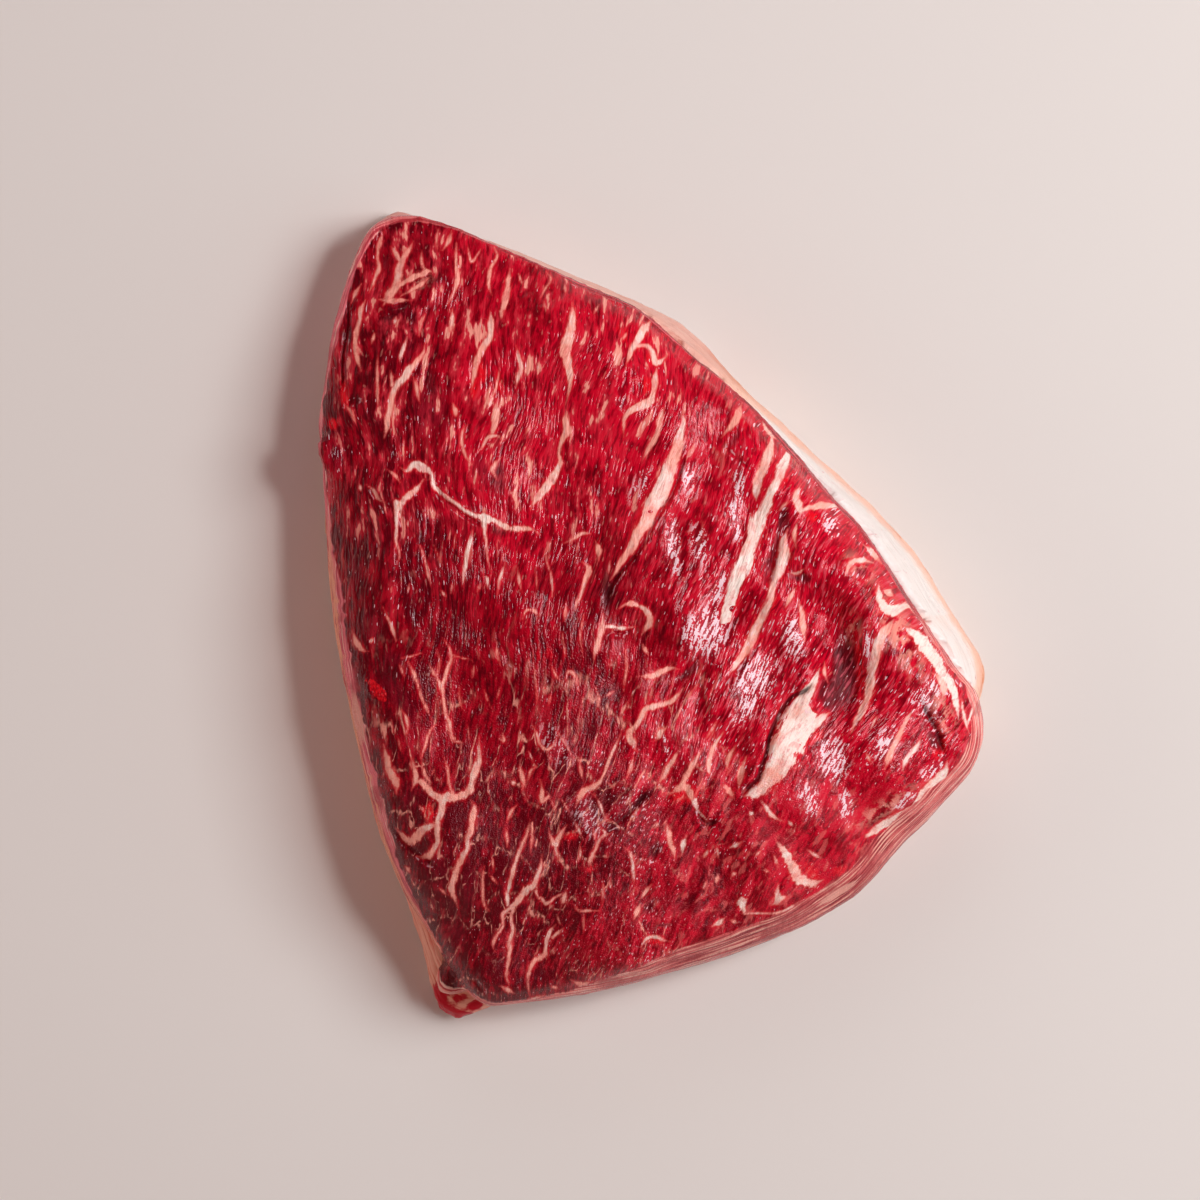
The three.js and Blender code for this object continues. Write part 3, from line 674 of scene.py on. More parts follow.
    ("right_arm", 0.65, [(45, 31.5, 1.2), (48, 32.5, 1.8), (51, 33, 2.2), (54.5, 33, 1.8),
        (58, 32.5, 1.6)]),
    ("hollow_seam", 0.5, [(40.5, 26, 1), (39.5, 22.5, 2.2), (39.5, 19.5, 3), (39, 16.5, 3.4), (37.5, 13, 3),
        (36.5, 10, 2.4), (35.5, 7, 1.8), (35, 4, 2.2), (33.5, 1, 2.2), (32, -2, 2.4), (30.5, -5, 2.8),
        (29, -8, 2.8), (28, -10.5, 2.4), (26, -13.5, 2.2), (24.5, -15.5, 1.6), (22.5, -18, 1)]),
    ("hollow_twig", 0.5, [(40.5, 13, 1), (43, 12.5, 1), (45.5, 14, 0.6)]),
    ("hollow_b", 0.5, [(43, 8.5, 1.2), (41, 5, 1.6), (39.5, 2, 1.2)]),
    ("hollow_c", 0.35, [(43.5, 4.5, 1), (44.5, 1, 1.6), (45, -3.5, 1.8), (45.5, -8, 1.6)]),
    ("hollow_d", 0.35, [(43.5, 28.5, 0.6), (42.5, 24.5, 1.2), (43, 20, 1.2)]),
    ("cave_ring", 0.6, [(57.5, 11.5, 1.2), (58.5, 14, 1.6), (60, 16, 1.6), (63, 16.5, 1.6),
        (66.5, 15.5, 1)]),
    ("rim_cream", 0.75, [(68, 9.5, 1.2), (68, 5.5, 2.2), (69.5, 2.5, 3), (72, 1, 3.4), (75, 2, 2.2),
        (77.5, 2.5, 1.6), (80, 0, 1.2), (81.5, -2, 0.6)]),
    ("rim_patch", 0.4, [(63.5, 21, 1.6), (66, 19, 1.8), (69, 15, 1.6)]),
    ("rim_patch_b", 0.4, [(69.5, 7.5, 1.8), (72.5, 5.5, 1.8)]),
    ("wall_seam", 0.5, [(72.5, -1.5, 2.4), (70, -4.5, 2.8), (68, -8.5, 2.8), (67, -12.5, 2.4),
        (66, -17, 2.4), (65.5, -21, 2.8), (65, -24.5, 2.4), (63.5, -28, 2.2), (62, -31.5, 1.2)]),
    ("wall_seam_b", 0.4, [(61.5, -31, 1.2), (59.5, -36, 1)]),
    ("rim_white", 1, [(75.5, -3.5, 1.2), (78.5, -5.5, 2.8), (81, -8, 3.6), (83.5, -11.5, 4), (86, -14.5, 4),
        (88, -18, 3), (90.5, -21.5, 2.8), (91.5, -24.5, 2.2), (92, -28, 1.6), (92.5, -32, 1)]),
    ("rim_peach", 0.4, [(84, -17.5, 1.2), (87, -19.5, 2.4), (88, -23, 2.2), (87, -26, 1)]),
    ("rim_v", 0.85, [(93.5, -25.5, 1), (94, -29.5, 1.2), (95, -33.5, 1), (96, -36, 0.6)]),
    ("rim_v_b", 0.85, [(98, -26, 0.6), (97, -29.5, 1), (95.5, -33, 0.6)]),
    ("fibre_a", 0.35, [(78.5, -28.5, 1), (76, -32.5, 1.2), (74, -36.5, 1.6), (72, -40, 1.8),
        (70.5, -43.5, 2.2), (69.5, -46.5, 1.6)]),
    ("fibre_b", 0.75, [(81, -36.5, 1), (79.5, -39.5, 1.6), (77, -42.5, 1.2), (75.5, -44.5, 1.8),
        (75, -47, 1.2)]),
    ("fibre_c", 0.7, [(67.5, -30.5, 0.8), (65.5, -34.5, 1)]),
    ("fibre_d", 0.4, [(64, -41.5, 1.2), (65.5, -44.5, 1)]),
    ("rim_yellow", 0.7, [(89, -44, 1.6), (88.5, -47, 2.4), (86.5, -49.5, 2.8), (84, -51.5, 3),
        (81.5, -54.5, 3), (80, -57.5, 3), (77.5, -59.5, 2.8), (74, -61, 2.8), (70.5, -63, 2.4),
        (67.5, -65, 2.2), (65, -66.5, 1.2)]),
    ("big_top", 0.85, [(50, -16, 1), (49, -18.5, 1.8), (47.5, -21.5, 2.8), (45.5, -25, 4.2),
        (44, -28, 6.6)]),
    ("big_seam", 0.7, [(44, -28, 6.6), (44, -31, 10.2), (42.5, -34, 10), (41, -37.5, 9), (39.5, -40, 8.8),
        (38.5, -43, 7.8), (36.5, -46.5, 6)]),
    ("big_foot", 0.5, [(36.5, -46.5, 6), (34.5, -49.5, 4.8), (32.5, -52, 3.6), (30, -53.5, 3),
        (27, -54.5, 1.6)]),
    ("big_wing", 0.6, [(53, -29.5, 2.2), (50, -31.5, 3), (47, -34, 3.6)]),
    ("big_twig", 0.5, [(51.5, -14, 1), (51.5, -17.5, 1.2), (52.5, -20.5, 0.6)]),
    ("big_right", 0.8, [(43.5, -39.5, 2.4), (45, -42, 1.8)]),
    ("big_tail", 0.5, [(32, -55.5, 1.8), (34, -58, 1.6), (36, -60.5, 1.2), (39, -62, 1)]),
    # Painted highlight, not fat: a white glint at the end of the big seam's tail.
    ("big_tail_glint", 0.95, [(40.5, -62, 1.2), (42, -63.5, 1)]),
    ("corner_seam", 0.5, [(36.5, -67.5, 1), (38, -69.5, 1.8), (40, -72.5, 2.4), (42, -76, 2.8),
        (43.5, -79, 3.4), (45.5, -80.5, 3), (48.5, -81, 2.2), (51.5, -80, 1)]),
    ("corner_thin", 0.5, [(46, -70.5, 0.6), (49, -72.5, 1), (51, -73.5, 0.6)]),
    ("corner_white", 0.6, [(64, -67.5, 1), (65.5, -66, 1.2)]),
    ("star_a", 0.45, [(25, -88, 1), (26.5, -86.5, 2.4), (28.5, -85.5, 1)]),
    ("star_b", 0.45, [(26.5, -87, 2.4), (27.5, -89.5, 1)]),
    ("star_c", 0.45, [(37.5, -81, 1), (37.5, -84, 1.6), (37.5, -86.5, 2.2), (35.5, -87.5, 1)]),
    ("star_d", 0.45, [(38, -85.5, 1.6), (40, -85, 1)]),
    ("bottom_line", 0.5, [(27.5, -90, 0.6), (32, -90, 0.6), (37, -90, 0.8), (41.5, -88.5, 1),
        (45.5, -86, 1)]),
    ("fleck_a", 0.5, [(17.5, -94, 1.6), (19.5, -93, 1.6), (22, -91, 0.6)]),
    ("fleck_b", 0.4, [(23, -92, 1.2), (25.5, -93, 1)]),
    ("fleck_c", 0.45, [(22.5, -70, 1.2), (25, -69, 1.2), (26.5, -68, 0.6)]),
    ("fleck_d", 0.35, [(15, -73, 1.6), (16.5, -70.5, 1.2)]),
    ("fleck_e", 0.35, [(19.5, -78, 1.2), (19, -81, 1.6)]),
    ("fleck_f", 0.4, [(16, -80, 1), (15, -82.5, 0.6)]),
    ("fleck_g", 0.4, [(19, -69.5, 0.6), (19.5, -72.5, 1)]),
    ("fleck_h", 0.4, [(30.5, -72.5, 1), (32.5, -70.5, 0.6)]),
    ("fleck_i", 0.4, [(33, -76.5, 1), (35, -77.5, 0.6)]),
    ("fleck_j", 0.45, [(36, -72, 0.6), (37.5, -75.5, 1.2)]),
    ("fleck_k", 0.4, [(25, -77.5, 1), (23.5, -78.5, 1.2)]),
    ("pit_edge", 0.45, [(3.5, -62, 1), (4.5, -65, 1.8), (5, -68, 1.6), (6, -71, 1.2), (6.5, -74.5, 0.6)]),
    ("white_dart", 0.95, [(10, -66, 1.6), (9, -68.5, 1.6), (8.5, -72.5, 0.6)]),
    ("low_a", 0.5, [(-0.5, -81, 1.2), (-2.5, -83.5, 1.6), (-4, -85.5, 1)]),
    ("low_b", 0.45, [(-4, -87, 1.8), (-5, -89.5, 2.2), (-6, -92, 1.2)]),
    ("low_c", 0.5, [(-9, -69.5, 0.6), (-7, -71.5, 1.2), (-6.5, -74, 1), (-6, -77.5, 1.2), (-6, -81, 1.2)]),
    ("low_d", 0.45, [(-12, -65, 0.6), (-16, -67, 1), (-17.5, -70.5, 1.2), (-19, -74, 1.8),
        (-19, -76.5, 1)]),
    ("low_e", 0.4, [(-18, -64, 0.6), (-17.5, -67.5, 1)]),
    ("low_f", 0.45, [(-24, -87, 1.2), (-22.5, -89, 1), (-19, -89, 0.8), (-16, -89, 0.4)]),
    ("low_g", 0.4, [(-21, -90, 0.6), (-21, -95.5, 0.6)]),
    ("low_h", 0.4, [(-15, -79.5, 0.6), (-15.5, -87.5, 0.6)]),
    ("low_i", 0.45, [(-26, -82.5, 0.6), (-27, -85.5, 1.8), (-28, -88.5, 1)]),
    ("low_j", 0.4, [(-34, -85, 0.6), (-32, -87, 1.6), (-29.5, -85, 0.6), (-27.5, -84, 0.6)]),
    ("low_k", 0.35, [(-29, -90.5, 0.6), (-28, -93.5, 0.6)]),
    ("nub_tip", 0.6, [(-4, -100.5, 0.6), (-2, -97.5, 1), (0.5, -97, 1), (3, -98, 1.6), (5, -98.5, 1.8)]),
    ("net_x", 0.5, [(-26, -63, 1), (-28, -66, 1.6), (-29.5, -69, 2.2), (-31, -66.5, 1.2),
        (-31.5, -64, 0.6)]),
    ("net_y", 0.45, [(-29.5, -70, 1), (-28.5, -73.5, 1)]),
    ("net_z", 0.4, [(-22, -69, 0.8), (-22, -72, 1), (-23, -74.5, 0.6)]),
    ("tri_a", 0.4, [(-40, -43.5, 1), (-40, -47, 1.6), (-39, -50.5, 1.8), (-39.5, -52.5, 1)]),
    ("tri_b", 0.5, [(-35, -45.5, 0.6), (-37, -47, 1), (-37.5, -49.5, 1)]),
    ("tri_c", 0.35, [(-34, -49.5, 0.6), (-33.5, -53, 1.8), (-33.5, -56, 1.6), (-31.5, -54.5, 1)]),
    ("dot_a", 0.8, [(-43, -50.5, 1.2), (-41.5, -50.5, 2.2)]),
    ("dash_17", 0.45, [(-46.5, -37, 0.6), (-45, -38, 1.2), (-45.5, -35.5, 0.6)]),
    ("dash_18", 0.45, [(-41, -57, 0.6), (-43, -59.5, 1.2), (-44, -62.5, 1)]),
    ("dash_19", 0.4, [(-44.5, -64, 0.6), (-44, -67, 1.2), (-44, -70, 0.6)]),
    ("dash_20", 0.45, [(-48.5, -73, 1), (-48, -77, 0.6)]),
    ("dash_21", 0.4, [(-51, -75.5, 0.6), (-51.5, -81.5, 1), (-51, -87.5, 1), (-49.5, -89.5, 1.2)]),
    ("dash_22", 0.4, [(-49, -78.5, 1), (-47, -81, 0.6)]),
    ("bottom_a", 0.55, [(-37, -61.5, 0.6), (-38, -65.5, 1), (-39.5, -69, 1.2), (-41, -73, 1.4),
        (-42, -76, 1.6), (-43, -80, 1.6), (-44, -84, 1.4), (-44, -87.5, 1.2)]),
    ("bottom_a2", 0.5, [(-36.5, -62.5, 0.6), (-36.5, -67, 1), (-37, -71.5, 0.6)]),
    ("bottom_b", 0.5, [(-33.5, -72, 0.8), (-34, -75.5, 1.2), (-35, -78.5, 1.6), (-36, -81.5, 2.4),
        (-38, -82.5, 2.8), (-40, -85, 2.4), (-42, -87.5, 2.2), (-44, -89, 1.6)]),
    ("bottom_b2", 0.5, [(-44, -89, 1.6), (-45.5, -90.5, 1.2), (-45.5, -94, 1), (-47, -96.5, 1),
        (-48.5, -99.5, 1.2), (-48, -102, 0.4)]),
    ("bottom_b3", 0.4, [(-35.5, -83, 1), (-34.5, -85.5, 0.6)]),
    ("bottom_c", 0.5, [(-42, -88, 1.2), (-43, -91.5, 1.2), (-42.5, -95, 1.2), (-43.5, -99, 1.6),
        (-43.5, -102, 1.6), (-44, -105.5, 1.2), (-44.5, -109.5, 1.2), (-43.5, -112.5, 1.2)]),
    ("bottom_d", 0.5, [(-29.5, -93.5, 1), (-31, -95.5, 1.6), (-32, -98, 1.8), (-32.5, -100.5, 1.2),
        (-33, -103, 2.2), (-35.5, -104.5, 1.8), (-37, -106.5, 1.8), (-38, -109.5, 1.2), (-38, -112, 1),
        (-37.5, -115.5, 0.6)]),
    ("bottom_d2", 0.5, [(-27, -94.5, 1), (-30.5, -97.5, 1.2)]),
    ("bottom_e", 0.45, [(-46.5, -112.5, 1.2), (-44.5, -113.5, 1.8), (-42, -115, 1.6)]),
    ("bottom_f", 0.35, [(-39.5, -117.5, 1), (-36, -116.5, 1.6), (-33, -115.5, 1.6)]),
    ("bottom_g", 0.3, [(-25, -110.5, 1.6), (-22, -112, 1.8), (-18, -111, 1)]),
    ("bottom_h", 0.25, [(-31, -112.5, 1.2), (-29, -113.5, 1.8)]),
    ("low_left_a", 0.4, [(-81.5, -39, 1.2), (-80.5, -43.5, 2.4), (-79.5, -47.5, 3), (-77.5, -51, 3),
        (-77.5, -54, 1.6)]),
    ("low_left_b", 0.5, [(-73, -43, 1.6), (-72, -46.5, 1.8), (-71.5, -49.5, 2.2), (-73, -53, 1)]),
    ("low_left_c", 0.5, [(-71.5, -50, 1.8), (-69, -51, 2.4), (-67.5, -53, 2.4), (-65, -55, 2.8),
        (-62.5, -55, 3.6), (-59.5, -55, 3), (-57, -54, 2.8), (-55, -52.5, 2.8)]),
    ("low_left_d", 0.55, [(-55, -52.5, 2.8), (-54.5, -49.5, 2.2), (-53.5, -46.5, 3), (-52.5, -43, 1.6),
        (-52.5, -39.5, 1), (-52.5, -36.5, 0.6)]),
    ("low_left_e", 0.5, [(-63, -55.5, 3), (-64, -59.5, 2.4), (-65, -62.5, 2.4), (-65, -65.5, 2.4),
        (-65, -68.5, 2.2), (-66.5, -71, 2.4), (-68.5, -73, 2.4), (-71.5, -73, 1.6)]),
    ("low_left_f", 0.45, [(-78, -64.5, 0.6), (-75.5, -67, 2.2), (-73, -68.5, 3), (-71, -66.5, 3.4),
        (-69, -64.5, 2.8), (-66, -63.5, 1.8)]),
    ("low_left_g", 0.45, [(-55, -55.5, 1), (-54, -58, 2.2), (-54.5, -61, 2.4), (-55, -64.5, 2.4),
        (-56, -67.5, 1.6), (-56, -70, 1.8), (-57.5, -73, 2.2), (-59, -76, 2.4), (-60, -79.5, 2.4),
        (-61, -82.5, 2.4), (-60, -85.5, 1.6), (-59, -88.5, 1)]),
    ("low_left_h", 0.35, [(-70, -44.5, 1), (-69, -47.5, 1.2), (-67.5, -50.5, 1)]),
    ("low_left_i", 0.4, [(-70.5, -57.5, 1), (-69, -59.5, 1.2)]),
    ("low_left_j", 0.45, [(-75, -76, 1.2), (-73.5, -78, 1.6)]),
    ("low_left_k", 0.35, [(-64.5, -82.5, 1), (-62.5, -84.5, 1)]),
    ("low_left_l", 0.4, [(-66, -46.5, 0.6), (-67, -48.5, 0.6)]),
    # Painted highlights, not fat: the runs named glint are thin white lines drawn like seams.
    ("glint_a", 1, [(-29.5, -34, 0.6), (-27, -38, 0.6), (-24, -43, 0.4)]),
    ("glint_b", 1, [(-37.5, -41, 0.6), (-36, -44.5, 0.4)]),
    ("glint_c", 1, [(-32, -41.5, 0.4), (-30.5, -44, 0.6)]),
    ("glint_d", 1, [(-32, -53, 0.4), (-29.5, -58.5, 0.6)]),
    ("glint_e", 1, [(-27.5, -55.5, 0.4), (-25.5, -59, 1)]),
    ("glint_f", 1, [(-24, -61.5, 0.6), (-22.5, -64.5, 1), (-21, -67.5, 0.4)]),
    ("glint_g", 1, [(-18, -53.5, 0.6), (-16, -57, 0.8), (-14.5, -61, 0.6), (-12, -62, 0.4)]),
    ("glint_h", 1, [(-16, -63.5, 0.4), (-14.5, -65.5, 1)]),
    ("glint_i", 1, [(11.5, -55.5, 0.6), (13.5, -59, 0.6), (17, -62.5, 0.6)]),
    ("glint_j", 0.95, [(12.5, -55.5, 1), (13, -57.5, 1)]),
    ("glint_k", 0.95, [(29, -59, 1.2), (29.5, -60, 1)]),
]
print("seams:", len(SEAMS), "of", sum(len(run) for name, tone, run in SEAMS), "points")

# %% [markdown]
# ## Seams as fields
# A material can't read a line, only a number at each vertex. So each vertex is told how far off the
# nearest seam's edge is, and how wide, how white and how full that seam is there. A seam thins out
# towards an end, unless the end runs into another seam.

# %% Seams as fields
SEAM_REACH = 5.0
TEAR_WIDTH = 1.1
LEFT_WIDTH = 0.76


def joined_ends():
    """For each seam, whether its first and its last point lie on another seam."""
    ends = np.array([point[:2] for name, tone, run in SEAMS for point in (run[0], run[-1])])
    joined = np.zeros(len(ends), bool)
    for number, (name, tone, run) in enumerate(SEAMS):
        picked, gap, columns = near_run(ends, rounded(run), 4)
        on_it = (gap < columns[:, 0] / 2 + 0.4) & (picked // 2 != number)
        joined[picked[on_it]] = True
    return joined.reshape(-1, 2)


def drawn_seams():
    """Tone and tapered run of each seam. Left of the middle they lie deeper and look thinner."""
    made = []
    for (name, tone, run), joined in zip(SEAMS, joined_ends()):
        run = tapered(run, joined)
        rightness = ease(-20, 20, run[:, 0].mean())
        is_tear = name.startswith("tear")
        run[:, 2] *= TEAR_WIDTH if is_tear else LEFT_WIDTH + (1 - LEFT_WIDTH) * rightness
        made.append((tone, run))
    return made


DRAWN = drawn_seams()
print("seam ends that thin out:", int((~joined_ends()).sum()), "of", 2 * len(SEAMS))


def seam_field(flat):
    """Distance to the edge of the nearest seam (negative inside it), its half width, whiteness and
    fullness."""
    edge = np.full(len(flat), SEAM_REACH)
    half = np.full(len(flat), 0.5)
    white = np.full(len(flat), 0.4)
    full = np.full(len(flat), 1.0)
    for tone, run in DRAWN:
        picked, gap, columns = near_run(flat, run, SEAM_REACH + 3)
        here = gap - columns[:, 0] / 2
        nearer = here < edge[picked]
        chosen = picked[nearer]
        edge[chosen] = here[nearer]
        half[chosen] = columns[nearer, 0] / 2
        full[chosen] = columns[nearer, 1]
        white[chosen] = tone
    return edge, half, white, full


def ellipse(flat, centre, half_long, half_short, degrees):
    """1 at the centre of an ellipse, 0 at its edge and beyond."""
    turn = math.radians(degrees)
    dx, dy = flat[:, 0] - centre[0], flat[:, 1] - centre[1]
    long_way = (dx * math.cos(turn) + dy * math.sin(turn)) / half_long
    short_way = (dy * math.cos(turn) - dx * math.sin(turn)) / half_short
    return 1 - ease(0, 1, np.hypot(long_way, short_way))


# %% [markdown]
# ## Zones of the face
# The lean isn't one red. Fresh patches beside the seams are scarlet, patches that have met the air
# are a dull mauve, the hollows are painted nearly black as shade, and parts of the right half shine
# like satin, with a painted sheen. Each patch is an ellipse: its centre, half length, half width, the
# direction of its length in degrees and its strength. Like the seams, they were placed over the photograph.

# %% The zones
FRESH = [
    ((-52, 73.5), 6.5, 2.5, -80, 0.9), ((-46.5, 69.5), 6.5, 2.5, -80, 0.7),
    ((-67.5, -59.5), 4, 2.5, -80, 1), ((-25, -66.5), 3, 2.5, 0, 0.8), ((-18.5, -76), 3.5, 2.5, 0, 0.5),
    ((48, 29.5), 3, 2, 0, 1), ((62, -15), 13.5, 2, -88, 1), ((48.5, -36.5), 5, 2.5, 30, 1),
    ((-2, 69.5), 3.5, 2.5, -90, 1), ((-9.5, 85.5), 5, 2.5, -80, 0.9), ((-1.5, 77.5), 3.5, 2.5, -80, 0.8),
    ((9.5, -54), 8.5, 3.5, 10, 0.8), ((86.5, -40.5), 5, 2.5, 60, 1), ((-93.5, 67), 6.5, 2, -85, 1),
    ((-97, 58), 2.5, 2.5, 0, 1), ((-75, 49.5), 4, 2.5, 0, 0.6), ((40, 51.5), 3, 2, -60, 0.8),
    ((40, 40), 4, 1.5, 65, 0.7), ((48, -77.5), 5, 2.5, -60, 0.9), ((56.5, -77), 4, 2.5, 20, 0.6),
    ((73.5, -60.5), 4, 1.5, 20, 0.7), ((85.5, -55), 3, 1.5, 60, 0.6), ((36.5, 3), 6.5, 1.5, 65, 0.6),
    ((0.5, -98), 4, 2, 0, 0.9), ((-60, 61.5), 2.5, 2.5, 0, 0.8), ((-16, 22.5), 3.5, 2, -90, 0.5),
    ((26.5, -46.5), 6, 2.5, -80, 0.5), ((-32.5, -12), 9, 4, 0, 0.35), ((-54, 68), 4, 2, -90, 1),
    ((-12.5, 96), 3, 2.5, 0, 0.4), ((2, 85), 4.5, 2.5, 40, 0.5), ((27.5, 56), 7.5, 3.5, 50, 0.4),
]
DULL = [
    # The second patch, at (-96, 48), is painted shade: it darkens the rounded top of a bump at the left edge.
    ((-67.5, 62), 12, 9, -90, 1), ((-96, 48), 8, 5, 90, 0.9), ((-74.5, 82), 6.5, 2.5, -90, 0.9),
    ((-51.5, 43.5), 9, 4, -60, 1), ((-85, -3), 9, 6, -80, 1), ((-76, -25.5), 18, 4, -62, 1),
    ((-73.5, -56), 9, 5, -90, 0.8), ((-55.5, -81.5), 11, 4, -90, 1), ((-60, -97), 11, 6, -90, 0.8),
    ((-64.5, -77), 12, 7.5, -90, 0.7), ((-78, -13.5), 5.5, 4, 0, 0.8), ((-42, 75.5), 5.5, 2, -60, 0.7),
    ((-37.5, 83), 6, 2.5, -60, 0.6), ((-19, 95.5), 7.5, 2.5, -25, 0.6), ((-13, 87.5), 4, 3, 0, 0.6),
    ((-55.5, 98.5), 3.5, 2.5, 0, 0.6), ((-90, 16.5), 21, 3.5, -90, 0.7), ((-77, 92.5), 6, 5, 0, 0.7),
    ((-34, 66.5), 6, 2.5, -70, 0.5), ((-1, 53), 5.5, 2, 65, 0.4), ((-40, -25.5), 12, 9, 0, 0.35),
    ((42.5, -7.5), 9, 6, 0, 0.35),
]
# Deep zones are hollows: their relief is lowered, and their colour is darkened as painted shade.
DEEP = [
    ((58, -16), 14.5, 5, -88, 1.3), ((44, 11.5), 5, 2, -10, 1), ((62.5, 13), 2.5, 2, 0, 1),
    ((69.5, -9), 3.5, 2, -80, 0.9), ((85, -38), 5, 2.5, -60, 1), ((-79.5, 89.5), 4.5, 2.5, 0, 0.9),
    ((-81.5, 107.5), 4.5, 1.5, -90, 0.7), ((-46.5, 41.5), 8, 3.5, -90, 0.8),
    ((-46.5, 25.5), 4, 2.5, 0, 0.9), ((-4, -55.5), 7, 1.5, 40, 1), ((17.5, -62.5), 3.5, 1, 20, 1),
    ((0.5, -70.5), 4, 2.5, 60, 1), ((-1, -87.5), 4.5, 2, 60, 0.9), ((3.5, -93.5), 3.5, 1, 0, 0.9),
    ((-14, 7.5), 10, 2, -88, 0.9), ((39.5, 28.5), 8, 2.5, -80, 1), ((35, 16), 11.5, 1.5, 75, 0.8),
    ((11, -17), 6.5, 2, 40, 0.8), ((-11.5, -22.5), 6.5, 4, -80, 0.5), ((-67.5, 71), 7.5, 3.5, -80, 0.6),
    ((2, -33), 3.5, 2.5, 0, 0.4), ((53.5, -24), 6.5, 4.5, -70, 1.5), ((-28, 34.5), 7, 5.5, 0, 0.4),
    ((-63, 28.5), 9, 3, 0, 0.4), ((24.5, 53), 4, 2, 55, 0.7), ((-11.5, -55.5), 8, 5, 0, 0.5),
    ((9.5, -87.5), 11, 6, 0, 0.45), ((-55.5, -43.5), 6, 5, 0, 0.4),
]
# Satin patches: each is tilted towards the small lamp and made smoother, and its colour gets a pink wash and
# white streaks, partly painted sheen.
GLOSS = [
    ((16, -5), 10, 8, 55, 1), ((6, 21), 11.5, 2.5, -85, 1), ((26, 39), 7, 2, -85, 1),
    ((31, -19), 10.5, 6.5, 55, 0.9), ((42, -6.5), 8, 4, -80, 0.9), ((54, -43.5), 8.5, 5.5, -80, 1),
    ((58, -57.5), 6, 2.5, -85, 0.9), ((76, -56), 5, 2, 35, 1), ((84.5, -47), 5.5, 2.5, 30, 1),
    ((65, -10.5), 8, 2, -85, 1), ((82, -27), 8, 3, -60, 0.9), ((-4, 39), 7, 3, 65, 0.7),
    ((54, 26.5), 5.5, 3, -60, 0.8), ((24.5, 28.5), 9, 2.5, -80, 0.8), ((11, 40.5), 6.5, 3.5, -80, 0.6),
    ((69.5, -39), 6.5, 5, 60, 0.7), ((14, 21), 9, 3.5, -80, 0.6), ((27.5, -28.5), 7, 3.5, 50, 0.8),
    ((57.5, -7.5), 4, 1, -85, 0.8), ((69.5, -9), 3.5, 1.5, -80, 1), ((85, -22.5), 5, 2.5, -60, 0.8),
    ((46.5, -55.5), 8, 4, -80, 0.7), ((3.5, -39), 4, 1, -80, 0.9), ((-29.5, -39), 12, 6, -60, 0.3),
    ((-19, -61.5), 11, 5.5, -60, 0.4), ((20, 7.5), 8, 3, 60, 0.8),
]
ZONE_SPREAD = 1.3


def zone(flat, patches):
    """The strongest patch at each point."""
    total = np.zeros(len(flat))
    for centre, half_long, half_short, degrees, strength in patches:
        reach = half_long * ZONE_SPREAD, half_short * ZONE_SPREAD
        total = np.maximum(total, strength * ellipse(flat, centre, *reach, degrees))
    return total


print("zones:", len(FRESH), "fresh,", len(DULL), "dull,", len(DEEP), "deep,", len(GLOSS), "glossy")

# %% [markdown]
# ## Folds and small marks
# Between the seams the lean swells in bundles, and it is torn into folds and small caves where the
# knife and the hand pulled it apart. A fold is a line like a seam, with a depth after its name.
# Small marks are ellipses like the zones: pale lenses low on the flank, a red drop on the left,
# mottled rims, patches with many glints, and drops of blood that break the seams.

